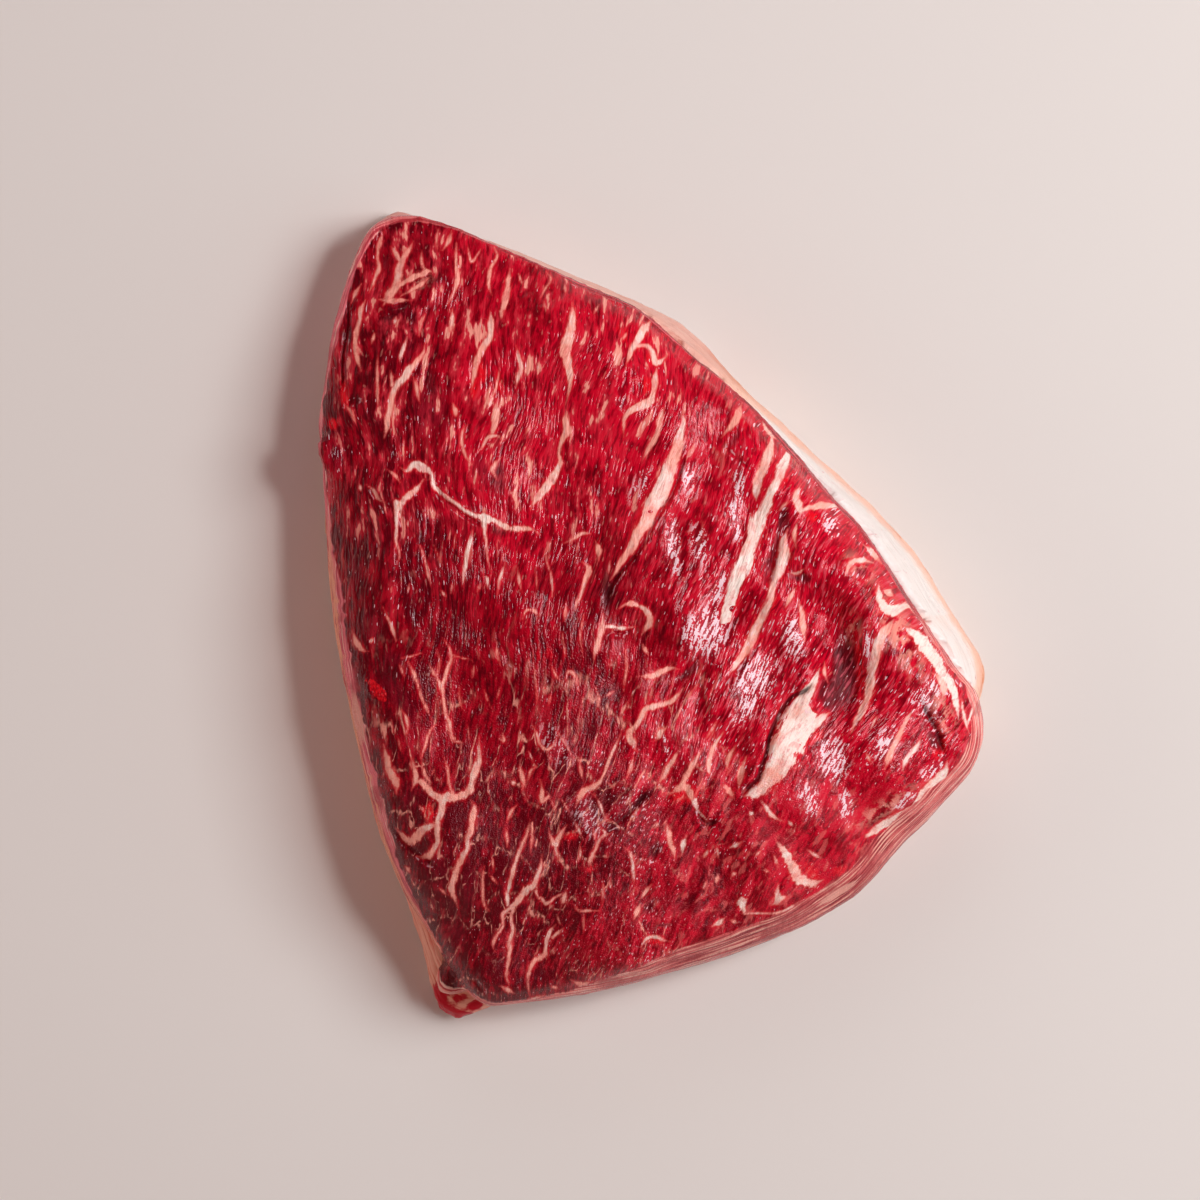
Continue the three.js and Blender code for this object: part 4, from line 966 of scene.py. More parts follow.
# %% Folds and marks
FOLDS = [
    ("long_fold", 1.6, [(10, 50, 0.6), (8.5, 44.5, 1.2), (6, 37.5, 1.2), (2.5, 32, 1.2), (-1, 25.5, 1.2),
        (-4, 20, 1), (-7.5, 16, 1), (-11, 11.5, 1.2), (-13.5, 7.5, 1.6), (-14.5, 2.5, 0.6)]),
    ("white_fold", 1.2, [(27, 5, 0.6), (25.5, 1, 1.2), (23.5, -3.5, 1.2), (20.5, -7.5, 1), (16.5, -9, 1),
        (14, -12, 1), (11, -16.5, 0.6)]),
    ("big_fold", 2.4, [(48.5, -19.5, 1), (46, -22.5, 1.2), (42, -24.5, 1.2), (39.5, -27.5, 1.6),
        (37, -31.5, 1.6), (35, -36.5, 1.2), (34, -41.5, 1.2), (32.5, -45.5, 1.8), (31.5, -49, 1.8),
        (28.5, -52, 1.2), (26, -55, 0.6)]),
    ("inner_fold", 1.6, [(40, 33, 2.4), (38, 27, 2.8), (37, 21, 2.2), (36, 16, 1.8), (35, 10.5, 1.6),
        (33.5, 7, 1)]),
    ("lower_fold", 1, [(29.5, -7, 0.6), (26.5, -14, 1), (22.5, -18.5, 1), (19, -23.5, 1),
        (16.5, -27, 0.6)]),
    ("tear_fold", 1.2, [(-66.5, 41.5, 0.6), (-64.5, 36, 1.2), (-58.5, 31, 1.2), (-53, 27.5, 1.2),
        (-49.5, 27.5, 1)]),
    ("tear_left_fold", 1, [(-87, 38.5, 0.6), (-84.5, 36.5, 1), (-81.5, 33, 1.2), (-78.5, 34, 0.6)]),
    ("crevice", 1.8, [(-1, -52, 1), (-4, -55.5, 2.2), (-7, -59, 1.6), (-10.5, -62, 1), (-15, -65.5, 0.6)]),
    ("crevice_b", 1.6, [(12.5, -58, 0.6), (15, -62, 1.2), (17.5, -62.5, 1.8), (20.5, -61, 1)]),
    ("crevice_c", 1.4, [(2.5, -68, 1.8), (0.5, -71, 2.2), (-1, -75.5, 1.2)]),
    ("crevice_d", 1.2, [(-0.5, -87, 1), (-2.5, -90.5, 1.8)]),
    ("low_left_fold", 1.2, [(-79, -64, 1), (-76.5, -67.5, 1.6), (-73.5, -70.5, 1.2), (-69, -74, 1.2),
        (-64.5, -76.5, 1)]),
    ("rim_line", 0.8, [(-27.5, 103, 0.6), (-22, 100, 1), (-16, 97, 1), (-11, 94.5, 1.2), (-7, 93.5, 1)]),
    ("fork_step", 1.4, [(-81, 92, 0.6), (-78.5, 93.5, 1.2), (-76.5, 94, 1.2), (-73, 94.5, 0.6)]),
    ("flap_step", 1.2, [(-95, 62.5, 0.6), (-91.5, 64.5, 1.2), (-87, 65, 1)]),
    ("flap_crack", 1.6, [(-93, 96, 0.6), (-93, 87, 1), (-94.5, 77.5, 1), (-94, 67, 1)]),
    ("ledge", 0.8, [(-47.5, -7.5, 0.6), (-45.5, -10, 1.2), (-44, -12.5, 1), (-42.5, -15, 1),
        (-38, -16, 0.6)]),
    ("arc", 0.8, [(21, 53, 0.6), (23, 49, 1), (27.5, 45, 1), (31, 40.5, 0.6)]),
    ("right_notch", 2, [(80, -25, 1), (82.5, -29.5, 1.6), (85.5, -35, 2.2), (87, -39.5, 1.8),
        (88.5, -43.5, 1)]),
    ("rim_groove", 1, [(82.5, -6, 0.6), (87.5, -11.5, 1), (91.5, -17.5, 1.2), (94, -23, 1)]),
    ("drip_side", 0.8, [(-77, 33, 0.6), (-76, 28.5, 1), (-76, 24.5, 0.6)]),
    ("bird_fold", 1, [(-53, 48, 0.6), (-51, 50.5, 1), (-48.5, 52, 1)]),
    ("fork_fold", 1, [(-16, -12, 0.6), (-14.5, -8, 1.2), (-13, -5.5, 1.2), (-9.5, -5.5, 1), (-6, -5, 0.6)]),
    ("step_a", 0.9, [(-32, 41.5, 0.6), (-29.5, 39, 1), (-28, 39.5, 0.6)]),
    ("bottom_fold", 1, [(-55.5, -109.5, 1), (-53, -112.5, 1.6), (-49.5, -116.5, 1.2)]),
]
LENSES = [((56.3, -84.3), 8.5, 1.5, 31, 1), ((-89.4, -31.4), 10, 1.8, -80, 0.9)]
JEWEL = [((-83.4, -22.6), 4.6, 1.7, -48, 1), ((-81.8, -25.0), 1.8, 1.6, 0, 0.8)]
MOTTLED = [
    ((74, -6), 16, 6, -62, 1), ((46, 48), 8, 4, -50, 0.9), ((88, -30), 9, 3.5, -70, 0.9),
    ((70, -58), 13, 3, 32, 0.9), ((62, 14), 7, 4, -40, 0.7), ((-72, 101), 6, 3, 20, 0.7),
    ((60, -4), 6, 3, -80, 0.7),
]
# Patches where more painted glints are strewn.
GLINTS = [
    ((-17, -47), 14, 6, -65, 1), ((-4, -58), 9, 5, -50, 1), ((-45, 24), 8, 4, 0, 0.7),
    ((8, -45), 9, 4, -60, 0.7), ((-10, -93), 8, 4, -80, 0.8), ((22, -70), 8, 5, 0, 0.6),
    ((-60, 93), 8, 5, -60, 0.5), ((0, 60), 20, 9, -60, 0.4),
]
BLOOD = [
    ((43, -29), 1, 1, -20, 1), ((49.5, -27.5), 3, 2, 10, 1), ((-1, 31), 0.5, 1, -90, 1),
    ((23.5, 2), 1, 1, 0, 1), ((21.5, -3.5), 2, 1, 30, 0.8), ((51, -25.5), 2, 2.5, 0, 0.8),
    ((-71, 98), 2.5, 1, 20, 0.6), ((44, -39), 0.5, 0.5, 0, 0.5),
]
print("folds:", len(FOLDS), "the deepest (mm):", max(depth for name, depth, run in FOLDS))

# %% [markdown]
# ## Relief of the cut face
# One height is added up from several: bundles of fibres with creases between them, twice, at two
# sizes; fibres; a slow swell; the folds and hollows; and the seams, which stand up a little. A satin
# patch only shines where it faces half-way between the lamp and the camera, so each is tilted there.

# %% Height of the face
def creases(at, across_size, along_size, seed):
    """Long rounded bundles along the fibres with sharp creases between them, from -0.3 to 0.7."""
    across, along = grain(at)
    across = across + 3 * smooth_noise(at / 18, seed + 5)
    points = np.column_stack([across / across_size, along / along_size, 0 * across])
    return np.abs(smooth_noise(points, seed)) ** 0.7 - 0.3


def fold_field(flat):
    """How deep the folds are at each point, in millimetres."""
    deepness = np.zeros(len(flat))
    for name, depth, run in FOLDS:
        picked, gap, columns = near_run(flat, tapered(run), 6)
        width, full = columns.T
        deepness[picked] += depth * full * np.exp(-((gap / (0.3 + 0.4 * width)) ** 2))
    return deepness


STEEPEST_TILT = 0.22


def glossy_tilt(out, flat):
    """Relief that turns each satin patch a little, so that it mirrors the small lamp."""
    turn, lift = (math.radians(angle) for angle in GLINT_FROM)
    light = np.array((math.cos(lift) * math.cos(turn), math.cos(lift) * math.sin(turn), math.sin(lift)))
    half_way = light + np.array((0, 0, 1.0))
    wanted = -half_way[:2] / half_way[2]
    relief = np.zeros(len(flat))
    for centre, half_long, half_short, degrees, strength in GLOSS:
        mask = ellipse(flat, centre, half_long * 1.6, half_short * 1.6, degrees)
        if mask.sum() < 1:
            continue
        normal = (out * mask[:, None]).sum(axis=0)
        change = np.clip(wanted + normal[:2] / normal[2], -STEEPEST_TILT, STEEPEST_TILT)
        relief += 0.5 * strength * mask * ((flat - np.array(centre)) @ change)
    return relief


def face_relief(at, out):
    """Height to add to the cut face, in millimetres. The right half is the rougher one."""
    flat = at[:, :2]
    right = ease(-30, 40, flat[:, 0] - 0.3 * flat[:, 1])
    relief = (0.5 + 0.7 * right) * creases(at, across_size=7, along_size=30, seed=3)
    relief += (0.32 + 0.45 * right) * creases(at, across_size=3.6, along_size=14, seed=11)
    relief += 0.14 * along_grain(at, across_size=1.8, along_size=8, seed=17)
    relief += 0.3 * fractal(at / 15, seed=29)
    relief += glossy_tilt(out, flat)
    relief -= 0.8 * zone(flat, DEEP) + fold_field(flat)
    edge, half, white, full = seam_field(flat)
    relief += (0.06 + 0.06 * half) * full * (1 - ease(-1.0, 0.5, edge))
    return relief


for name, depth, run in FOLDS[:3]:
    middle = np.array([run[len(run) // 2][:2]], float)
    print(name, "is", round(float(fold_field(middle)[0]), 2), "mm deep half-way along")

# %% [markdown]
# ## Round the flank
# The flank is told by the direction from a hub in the middle and by how far a point lies inside the
# outline. The membrane on it shows from above as a band, wide at the lower right and thin at the top.

# %% Direction and inset
HUB = np.array((-15.0, 0.0))
DIRECTIONS = 360
# How wide the membrane shows from above, in mm, by direction from the hub in degrees.
MEMBRANE_WIDTH = [
    (-180, 4), (-160, 4.5), (-135, 4), (-115, 2), (-100, 2.2), (-88, 4.5), (-80, 7), (-70, 8),
    (-45, 8.5), (-33, 8), (-25, 6), (-15, 4), (0, 2.5), (20, 1.5), (60, 1), (105, 1.5), (130, 3),
    (140, 1.2), (164, 1.2), (172, 3.5), (180, 4),
]


def round_and_inset(at):
    """The direction of each vertex from the hub, and how far it lies inside the piece's outline."""
    turn = np.arctan2(at[:, 1] - HUB[1], at[:, 0] - HUB[0])
    reach = np.hypot(at[:, 0] - HUB[0], at[:, 1] - HUB[1])
    part = (turn + math.pi) / (2 * math.pi) * DIRECTIONS
    rim = np.zeros(DIRECTIONS + 1)
    np.maximum.at(rim, np.round(part).astype(int), reach)
    rim[0] = rim[-1] = max(rim[0], rim[-1])
    return turn, np.interp(part, np.arange(DIRECTIONS + 1), rim) - reach


print("membrane at the lower right (mm):", np.interp(-60, *zip(*MEMBRANE_WIDTH)))

# %% [markdown]
# ## The lean's mesh
# An even fine mesh would be too heavy, so the copy starts coarse. The cut face is split once, and
# the seams and the deep folds once more.

# %% Mesh of the lean
lean = fine_copy("lean_muscle", "lean_with_seams", voxel=2.1, smoothing=5)
print("skin:", triangles(lean), "triangles")


def on_the_face(centre, normal):
    return (normal[:, 2] > 0.4) & (centre[:, 2] > 14)


def on_a_seam(centre, normal):
    edge, half, white, full = seam_field(centre[:, :2])
    marked = (edge < 0.5) & (edge > -1.3) | (fold_field(centre[:, :2]) > 0.6)
    return marked & (normal[:, 2] > 0.4)


for wanted in (on_the_face, on_a_seam):
    cut_finer(lean, wanted)
    print(wanted.__name__, "cut finer:", triangles(lean), "triangles")

# %% [markdown]
# ## Shape the lean
# Vertices of the cut face move up and down, those of the flank in and out. Where the fat bulges on
# the left, the lean stays behind it. No vertex leaves the box of the solid that it came from.

# %% Move the lean's vertices
UP = np.array((0, 0, 1.0))
BOX_MARGIN = 0.01
SWELL = 0.2
LEFT_DENT = 1.3


def kept_inside(points, box):
    """The points, held just inside a box given in metres."""
    low, high = (np.array(corner) / MM for corner in box)
    return np.clip(points, low + BOX_MARGIN, high - BOX_MARGIN)


at, out = places(lean)
flat = at[:, :2]
turn, inset = round_and_inset(at)
ring = np.column_stack([np.cos(turn), np.sin(turn)])
face_share = (ease(0.35, 0.8, out[:, 2]) * ease(12, 20, at[:, 2]))[:, None]
flank_wave = 0.4 * fractal(np.column_stack([ring * 3.3, at[:, 2] / 3.6]), seed=41)
flank_wave += 0.25 * fractal(at / 12, seed=43)
moved = at + face_share * face_relief(at, out)[:, None] * UP
moved += (1 - face_share) * flank_wave[:, None] * out
moved += (SWELL - LEFT_DENT * ellipse(flat, (-102, 49), 11, 8, 90))[:, None] * out
moved = kept_inside(moved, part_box("lean_muscle"))
move_to(lean, moved)
print("relief (mm):", round(float(np.ptp(moved[:, 2] - at[:, 2])), 2))

# %% [markdown]
# ## Fields for the lean's colours
# Everything that the material has to know about a place is saved at the vertices: where it lies
# along the fibres and round the flank, which zones it is in, and which kind of marbling grows there.
# Low on the face the fibres are cut across, so the places along them are squeezed together.

# %% Fields of the lean
def save_fields(piece, fields):
    for name, values in fields.items():
        field = piece.data.attributes.new(name, "FLOAT", "POINT")
        field.data.foreach_set("value", values.astype(np.float32))
    print(piece.name, "has", len(fields), "fields")


x, y = flat.T
across, along = wavy_grain(at)
edge, half, white, full = seam_field(flat)
degrees = np.degrees(turn)
direction = degrees % 360
right = ease(-25, 35, x - 0.3 * y)
upper_left = ease(5, 40, y) * (1 - ease(-5, 40, x - 0.4 * y + 25))
upper_middle = ease(-15, 45, y) * ease(-75, -45, x)
lower_left = (1 - ease(-40, 5, y)) * (1 - ease(0, 35, x))
foot = 1 - ease(-60, -40, y)
membrane = np.interp(degrees, *zip(*MEMBRANE_WIDTH)) + 0.6 * fractal(at / 6, seed=73)
rind_stretch = ease(158, 172, direction) * (1 - ease(236, 250, direction))
SQUEEZE_FROM, SQUEEZE_OVER, SQUEEZE = -45, 7, 1.2
squeezed = SQUEEZE * SQUEEZE_OVER * np.log1p(np.exp(-(y - SQUEEZE_FROM) / SQUEEZE_OVER))

save_fields(lean, {
    "seam": edge + 3.5 * zone(flat, BLOOD),
    "girth": half,
    "white": white,
    "full": full,
    "side": 1 - ease(-1.2, 1.2, inset - membrane),
    "rise": inset + at[:, 2],
    "ring_x": ring[:, 0],
    "ring_y": ring[:, 1],
    "across": across + 0.5 * smooth_noise(at / 9, seed=92),
    "along": along - squeezed,
    "patch": fractal(at / 20, seed=61),
    "cloud": fractal(at / 7, seed=67),
    "fresh": zone(flat, FRESH),
    "dull": zone(flat, DULL),
    "deep": zone(flat, DEEP),
    "satin": zone(flat, GLOSS),
    "fold": fold_field(flat),
    # Partly painted light, partly the lean's own tone: lighter towards the right and the upper middle, on the
    # lamp's side, and darker towards the foot.
    "light": 0.48 * right - 0.03 + 0.47 * upper_middle - 0.24 * foot * (1 - 0.7 * ease(20, 50, x)),
    "lens": zone(flat, LENSES),
    "jewel": zone(flat, JEWEL),
    "mottle": zone(flat, MOTTLED),
    "right": right,
    "lined": 0.25 + 0.75 * np.maximum(ease(-60, -30, y) * right, ease(-35, 15, y)),
    "dashes": upper_left * ease(-99, -89, x),
    "web": np.maximum(lower_left, 0.3 * (1 - ease(-60, -45, y))) * ease(-0.6, 0.2, fractal(at / 10, seed=71)),
    "glint": zone(flat, GLINTS),
    "grains": foot * ease(-5, 15, x),
    "warm": ease(-112, -55, degrees) * (1 - ease(-45, -15, degrees)),
    "upper": ease(-12, 8, degrees) * (1 - ease(105, 125, degrees)),
    "left": ease(112, 130, direction) * (1 - ease(232, 245, direction)),
    "rind": rind_stretch * (1 - ease(1.0, 2.2, inset - 0.6 * fractal(at / 5, seed=79))),
})

# %% [markdown]
# ## The finish of the lean
# Fresh lean is a dark wet crimson that changes with every bundle of fibres, streaked with paler
# fibres, flecked with dashes of fat and netted with thin lines of fat where the fibres are cut
# across. The class below paints it in that order, one method for each layer, and the patterns that
# several layers share are made once. Among the layers are painted shade in the creases, hollows and
# folds, painted glints and a painted sheen.

# %% Colours of the lean
LEAN = colour(160, 0, 24)
DARK_LEAN = colour(104, 0, 16)
# A near-black red, used as painted shade in the creases and hollows, and for dark fibres.
DARK_AND_SHADED_LEAN = colour(72, 0, 12)
SHADE = colour(44, 0, 8)
BRIGHT_LEAN = colour(212, 6, 40)
DULL_LEAN = colour(124, 14, 34)
SCARLET = colour(236, 14, 34)
BRIGHT_RED = colour(214, 20, 32)
RED_SHADE = colour(160, 4, 18)
# A pink wash for the satin patches: partly a pinker lean, partly painted sheen.
ROSE_AND_SHEEN = colour(220, 54, 72)
PINK_FIBRE = colour(232, 92, 108)
SHEEN = colour(255, 224, 230)
# The white of the painted highlights: glints strewn over the face and along the rims of the folds.
PAINTED_GLINT = colour(255, 206, 214)
HALO = colour(220, 50, 66)
BLUSH = colour(220, 30, 42)
SOFT_SALMON = colour(234, 104, 100)
SALMON_FAT = colour(255, 166, 148)
CREAM_FAT = colour(255, 232, 220)
RIND = colour(252, 168, 136)
FLANK = {
    # where: groove, middle and pale line
    "cool": (colour(200, 60, 64), colour(250, 128, 122), colour(255, 200, 186)),
    "warm": (colour(150, 34, 42), colour(214, 90, 90), colour(244, 168, 152)),
    "upper": (colour(140, 4, 24), colour(190, 22, 44), colour(226, 90, 98)),
    # Painted light in part: the left row keeps the flank's own hues but is made much lighter, to lift the
    # left flank, which lies in shade.
    "left": (colour(204, 72, 88), colour(246, 122, 132), colour(255, 200, 186)),
}
print("flanks:", ", ".join(FLANK))


# %% Layers of the lean
class LeanFinish(Finish):
    """The lean's material, with the patterns along the fibres that its layers share."""

    def __init__(self):
        super().__init__("raw_lean")
        for name in ("across", "along", "right", "satin", "deep", "cloud", "lined", "grains", "side"):
            setattr(self, name, self.attribute(name))
        self.bundle = self.fibres(4.2, 20)
        self.fibre = self.fibres(1.3, 6, detail=3, shift=31)
        self.hair = self.fibres(0.75, 4.5, detail=1, shift=57)
        self.stipple = self.fibres(0.55, 0.7, detail=1, shift=5)
        self.crumbs = self.fibres(0.9, 1.3, shift=43)
        self.ragged = self.fibres(1.5, 6, detail=3, shift=71)
        self.blotch = self.fibres(2.4, 4.5, detail=3, shift=97)
        self.texture = self.stipple + (self.hair - self.stipple) * self.lined

    def fibres(self, across_size, along_size, detail=2.0, shift=0.0):
        """Noise drawn out along the fibres; each use has its own shift."""
        return self.noise(self.across / across_size + shift, self.along / along_size, detail)

    def meat(self):
        """The lean itself: bundles, zones, pale and dark fibres, painted shade in the creases and
        hollows, and a painted satin sheen.
        """
        bundle, fibre, hair, satin = self.bundle, self.fibre, self.hair, self.satin
        tone = 0.38 + (bundle - 0.5) * (0.9 + self.right * 0.7) + (fibre - 0.5) * 1.3
        # The light field lifts the tone: partly painted light on the lamp's side, partly the lean's own tone.
        tone = tone + self.attribute("patch") * 0.14 + self.attribute("light")
        red = self.mix(self.step(tone, 0.1, 0.5), DARK_LEAN, LEAN)
        red = self.mix(self.step(tone, 0.5, 0.95), red, BRIGHT_LEAN)
        fresh = self.attribute("fresh") + (fibre - 0.5) * 0.9
        red = self.mix(self.step(fresh, 0.15, 0.8), red, SCARLET)
        dull = self.attribute("dull") + (fibre - 0.5) * 1.3
        red = self.mix(self.step(dull, 0.3, 0.9) * 0.6, red, DULL_LEAN)
        # Painted shade: thin dark lines in the creases between bundles, stronger on the right.
        crease_shade = 1 - self.step(self.absolute(bundle - 0.5), 0.0, 0.035)
        crease_shade = crease_shade * self.step(self.cloud, -0.4, 0.6) * (0.2 + self.right * 0.5)
        red = self.mix(crease_shade, red, DARK_AND_SHADED_LEAN)
        # Painted shade: the hollows of the deep zones are darkened.
        red = self.mix(self.step(self.deep + (fibre - 0.5) * 0.5, 0.1, 0.8) * 0.75, red, DARK_AND_SHADED_LEAN)
        # Satin patches get a pink wash: partly a pinker lean, partly painted sheen.
        red = self.mix(self.step(satin + (bundle - 0.5) * 1.2, 0.0, 0.8) * 0.75, red, ROSE_AND_SHEEN)
        pale = self.step(self.texture + (fibre - 0.5) * 0.7, 0.56, 0.76) * (0.05 + self.right * 0.43)
        red = self.mix(pale * (1 - self.grains * 0.7), red, PINK_FIBRE)
        sheen = hair + (fibre - 0.5) * 0.7 + (self.stipple - 0.5) * 0.5 + satin * 0.22
        red = self.mix(self.step(sheen, 0.64, 0.72) * self.step(satin, 0.0, 0.5) * 0.9, red, SHEEN)
        dark_hair = self.step((0.5 - self.texture) + (0.5 - fibre) * 0.6, 0.04, 0.15)
        return self.mix(dark_hair * (0.26 + self.lined * 0.2 - self.grains * 0.2), red, DARK_AND_SHADED_LEAN)

    def marbled(self, skin):
        """Marbling that isn't drawn by hand: mottled rims, dashes at the upper left, grains at the
        lower right, specks, and a web at the lower left."""
        cloud, ragged, dashes = self.cloud, self.ragged, self.attribute("dashes")
        mottle = self.step(self.blotch + (self.crumbs - 0.5) * 0.25, 0.42, 0.6)
        skin = self.mix(mottle * self.attribute("mottle") * 0.8, skin, SALMON_FAT)
        dash = self.fibres(3, 12, detail=3, shift=83) + (self.fibre - 0.5) * 0.3
        skin = self.mix(self.step(dash, 0.50, 0.66) * dashes * 0.75, skin, HALO)
        skin = self.mix(self.step(dash, 0.63, 0.70) * dashes * 0.85, skin, SALMON_FAT)
        grain = self.fibres(3.2, 14, shift=11) + (ragged - 0.5) * 0.35 + cloud * 0.06
        skin = self.mix(self.step(grain, 0.60, 0.70) * self.grains * 0.5, skin, SOFT_SALMON)
        speck = self.step(self.fibres(0.8, 3.4, detail=1, shift=19), 0.70, 0.80)
        skin = self.mix(speck * (0.08 + self.lined * 0.16 - self.grains * 0.08), skin, SALMON_FAT)
        gap = self.cell_edges(self.across / 6.5 + (self.bundle - 0.5) * 1.4, self.along / 24 + cloud * 0.1)
        net = 1 - self.step(gap, 0.0, 0.04 + self.step(self.bundle, 0.42, 0.62) * 0.09)
        net = net * self.attribute("web") * (0.08 + self.step(ragged + cloud * 0.06, 0.44, 0.6) * 0.8)
        return self.mix(net, skin, self.mix(self.grains, SALMON_FAT, SOFT_SALMON))

    def seamed(self, skin):
        """The drawn seams, each with a blush of brighter red beside it; and where they are."""
        bundle, crumbs, girth = self.bundle, self.crumbs, self.attribute("girth")
        edge = self.attribute("seam") + (self.ragged - 0.5) * (0.4 + girth * 1.2) + (crumbs - 0.5) * 0.25
        seam = (1 - self.step(edge, -0.32, 0.3)) * (0.5 + self.attribute("full") * 0.5)
        seam = seam * (1 - self.step(self.hair + (crumbs - 0.5) * 0.6, 0.55, 0.75) * 0.25)
        blush = (1 - self.step(edge, -0.2, 0.6 + girth * 0.6)) * (0.6 + (bundle - 0.5) * 1.5)
        cream = self.attribute("white") * 1.1 + (self.right - 1) * 0.2 + (bundle - 0.5) * 0.9
        cream = cream + (crumbs - 0.5) * 0.8 + self.cloud * 0.3
        fat = self.mix(self.step(cream, 0.15, 1.1), SALMON_FAT, CREAM_FAT)
        rim = self.step(edge + (self.fibre - 0.5) * 0.5, -0.5, 0.15)
        fat = self.mix(rim * 0.7, fat, SOFT_SALMON)
        stain = self.step(self.blotch + (crumbs - 0.5) * 0.4, 0.52, 0.7)
        fat = self.mix(stain * 0.45, fat, SOFT_SALMON)
        return self.mix(seam, self.mix(blush, skin, BLUSH), fat), seam

    def folded(self, skin):
        """The red drop with painted light and shade on its facets, painted shade in the folds and painted
        glints; and where the folds are.
        """
        crumbs, ragged, depth = self.crumbs, self.ragged, self.attribute("fold")
        drop = self.attribute("jewel") + (ragged - 0.5) * 0.7 + (crumbs - 0.5) * 0.4
        # The drop's red is mottled darker and brighter: painted shade and painted light on its facets.
        drop_painted_facets = self.mix(self.step(crumbs, 0.35, 0.65), RED_SHADE, BRIGHT_RED)
        skin = self.mix(self.step(drop, 0.2, 0.32), skin, drop_painted_facets)
        # Painted shade: the folds are darkened.
        fold = self.step(depth + (self.fibre - 0.5) * 1.6 + (crumbs - 0.5) * 0.8, 0.8, 2.2)
        skin = self.mix(fold * 0.75, skin, SHADE)
        # Painted highlights: broken white glints along the rims of the folds, more on the right.
        rim = self.step(depth, 0.1, 0.25) * (1 - self.step(depth, 0.35, 0.6))
        glint_streaks = self.step(ragged + (self.hair - 0.5) * 0.5, 0.56, 0.64) * (0.3 + self.right * 0.5)
        skin = self.mix(rim * glint_streaks, skin, PAINTED_GLINT)
        # Painted highlights: small white glints strewn over the face, more on the right and in the glint
        # patches.
        glint_specks = self.fibres(0.42, 2.6, detail=0, shift=23) + (self.bundle - 0.5) * 0.3
        glint_specks = glint_specks + self.cloud * 0.03 + self.right * 0.1
        glint_specks = glint_specks + self.attribute("glint") * 0.08 - self.grains * 0.08
        return self.mix(self.step(glint_specks, 0.89, 0.93) * 0.85, skin, PAINTED_GLINT), fold

    def flanked(self, skin):
        """The flank: a dull membrane with long thin lines, a rind on the left; and the lines."""
        fibre, cloud, left = self.fibre, self.cloud, self.attribute("left")
        warm, upper = self.attribute("warm"), self.attribute("upper")
        lines = 0.5 + (self.ring(6, self.attribute("rise") / 1.1, detail=3) - 0.5) * 1.5
        groove, middle, pale = (
            self.mix(left, self.mix(upper, self.mix(warm, a, b), c), d) for a, b, c, d in zip(*FLANK.values())
        )
        flank = self.mix(self.step(lines + cloud * 0.08, 0.34, 0.5), groove, middle)
        flank = self.mix(self.step(lines + (self.hair - 0.5) * 0.1 - left * 0.06, 0.54, 0.68), flank, pale)
        flank = self.mix(self.step(cloud + (fibre - 0.5), 0.2, 0.9) * 0.5, flank, LEAN)
        rind = self.attribute("rind") * self.step(lines + (fibre - 0.5) * 0.2, 0.3, 0.52)
        flank = self.mix(rind, flank, RIND)
        skin = self.mix(self.step(self.side + (fibre - 0.5) * 0.6, 0.3, 0.7), skin, flank)
        lens = self.step(self.attribute("lens") + (lines - 0.5) * 0.5, 0.15, 0.5)
        return self.mix(lens * 0.85, skin, FLANK["warm"][2]), lines


def lean_finish():
    f = LeanFinish()
    skin, seam = f.seamed(f.marbled(f.meat()))
    skin, fold = f.folded(skin)
    skin, lines = f.flanked(skin)
    height = f.fibre * 0.3 + f.texture * (0.26 + f.lined * 0.14) + f.side * lines * 0.5
    roughness = 0.17 - f.satin * 0.03 + (f.fibre - 0.5) * 0.12 + seam * 0.14
    roughness = roughness + f.step(f.deep, 0.2, 0.8) * 0.35 + fold * 0.35
    f.set(Base_Color=skin, Roughness=roughness, Normal=f.bump(height, 1.0 * MM))
    f.set(Specular_IOR_Level=0.26, Specular_Tint=(1.0, 0.85, 0.9, 1.0))
    return f.material


def dress(piece, material):
    """Puts the finish on a piece and smooths its shading."""
    piece.data.materials.append(material)
    bpy.ops.object.select_all(action="DESELECT")
    piece.select_set(True)
    bpy.context.view_layer.objects.active = piece
    bpy.ops.object.shade_smooth()
    print(piece.name, "wears", material.name, "of", len(material.node_tree.nodes), "nodes")


dress(lean, lean_finish())
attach(lean, "root")
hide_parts("lean_muscle")

# %% [markdown]
# ## The fat cap
# The fat is firm and waxy, a little wrinkled, and along the right a lip of it leans in over the
# lean. Only the part that shows gets finer faces.

# %% Mesh of the fat
CORE_RADIUS = 78


def outer_fat(centre, normal):
    reach = np.hypot(centre[:, 0] - HUB[0], centre[:, 1] - HUB[1])
    return (normal[:, 2] > -0.2) & (reach > CORE_RADIUS)


fat = fine_copy("fat_cap", "fat_layer", voxel=1.6, smoothing=4)
cut_finer(fat, outer_fat)
print("fat:", triangles(fat), "triangles")

# %% [markdown]
# ## Shape the fat
# Wrinkles run round the fat, so their noise is read on a ring, where it closes on itself. They are
# damped on the lip, and none reach the underside, which lies flat.

# %% Move the fat's vertices
LIP_LEAN = 1.6

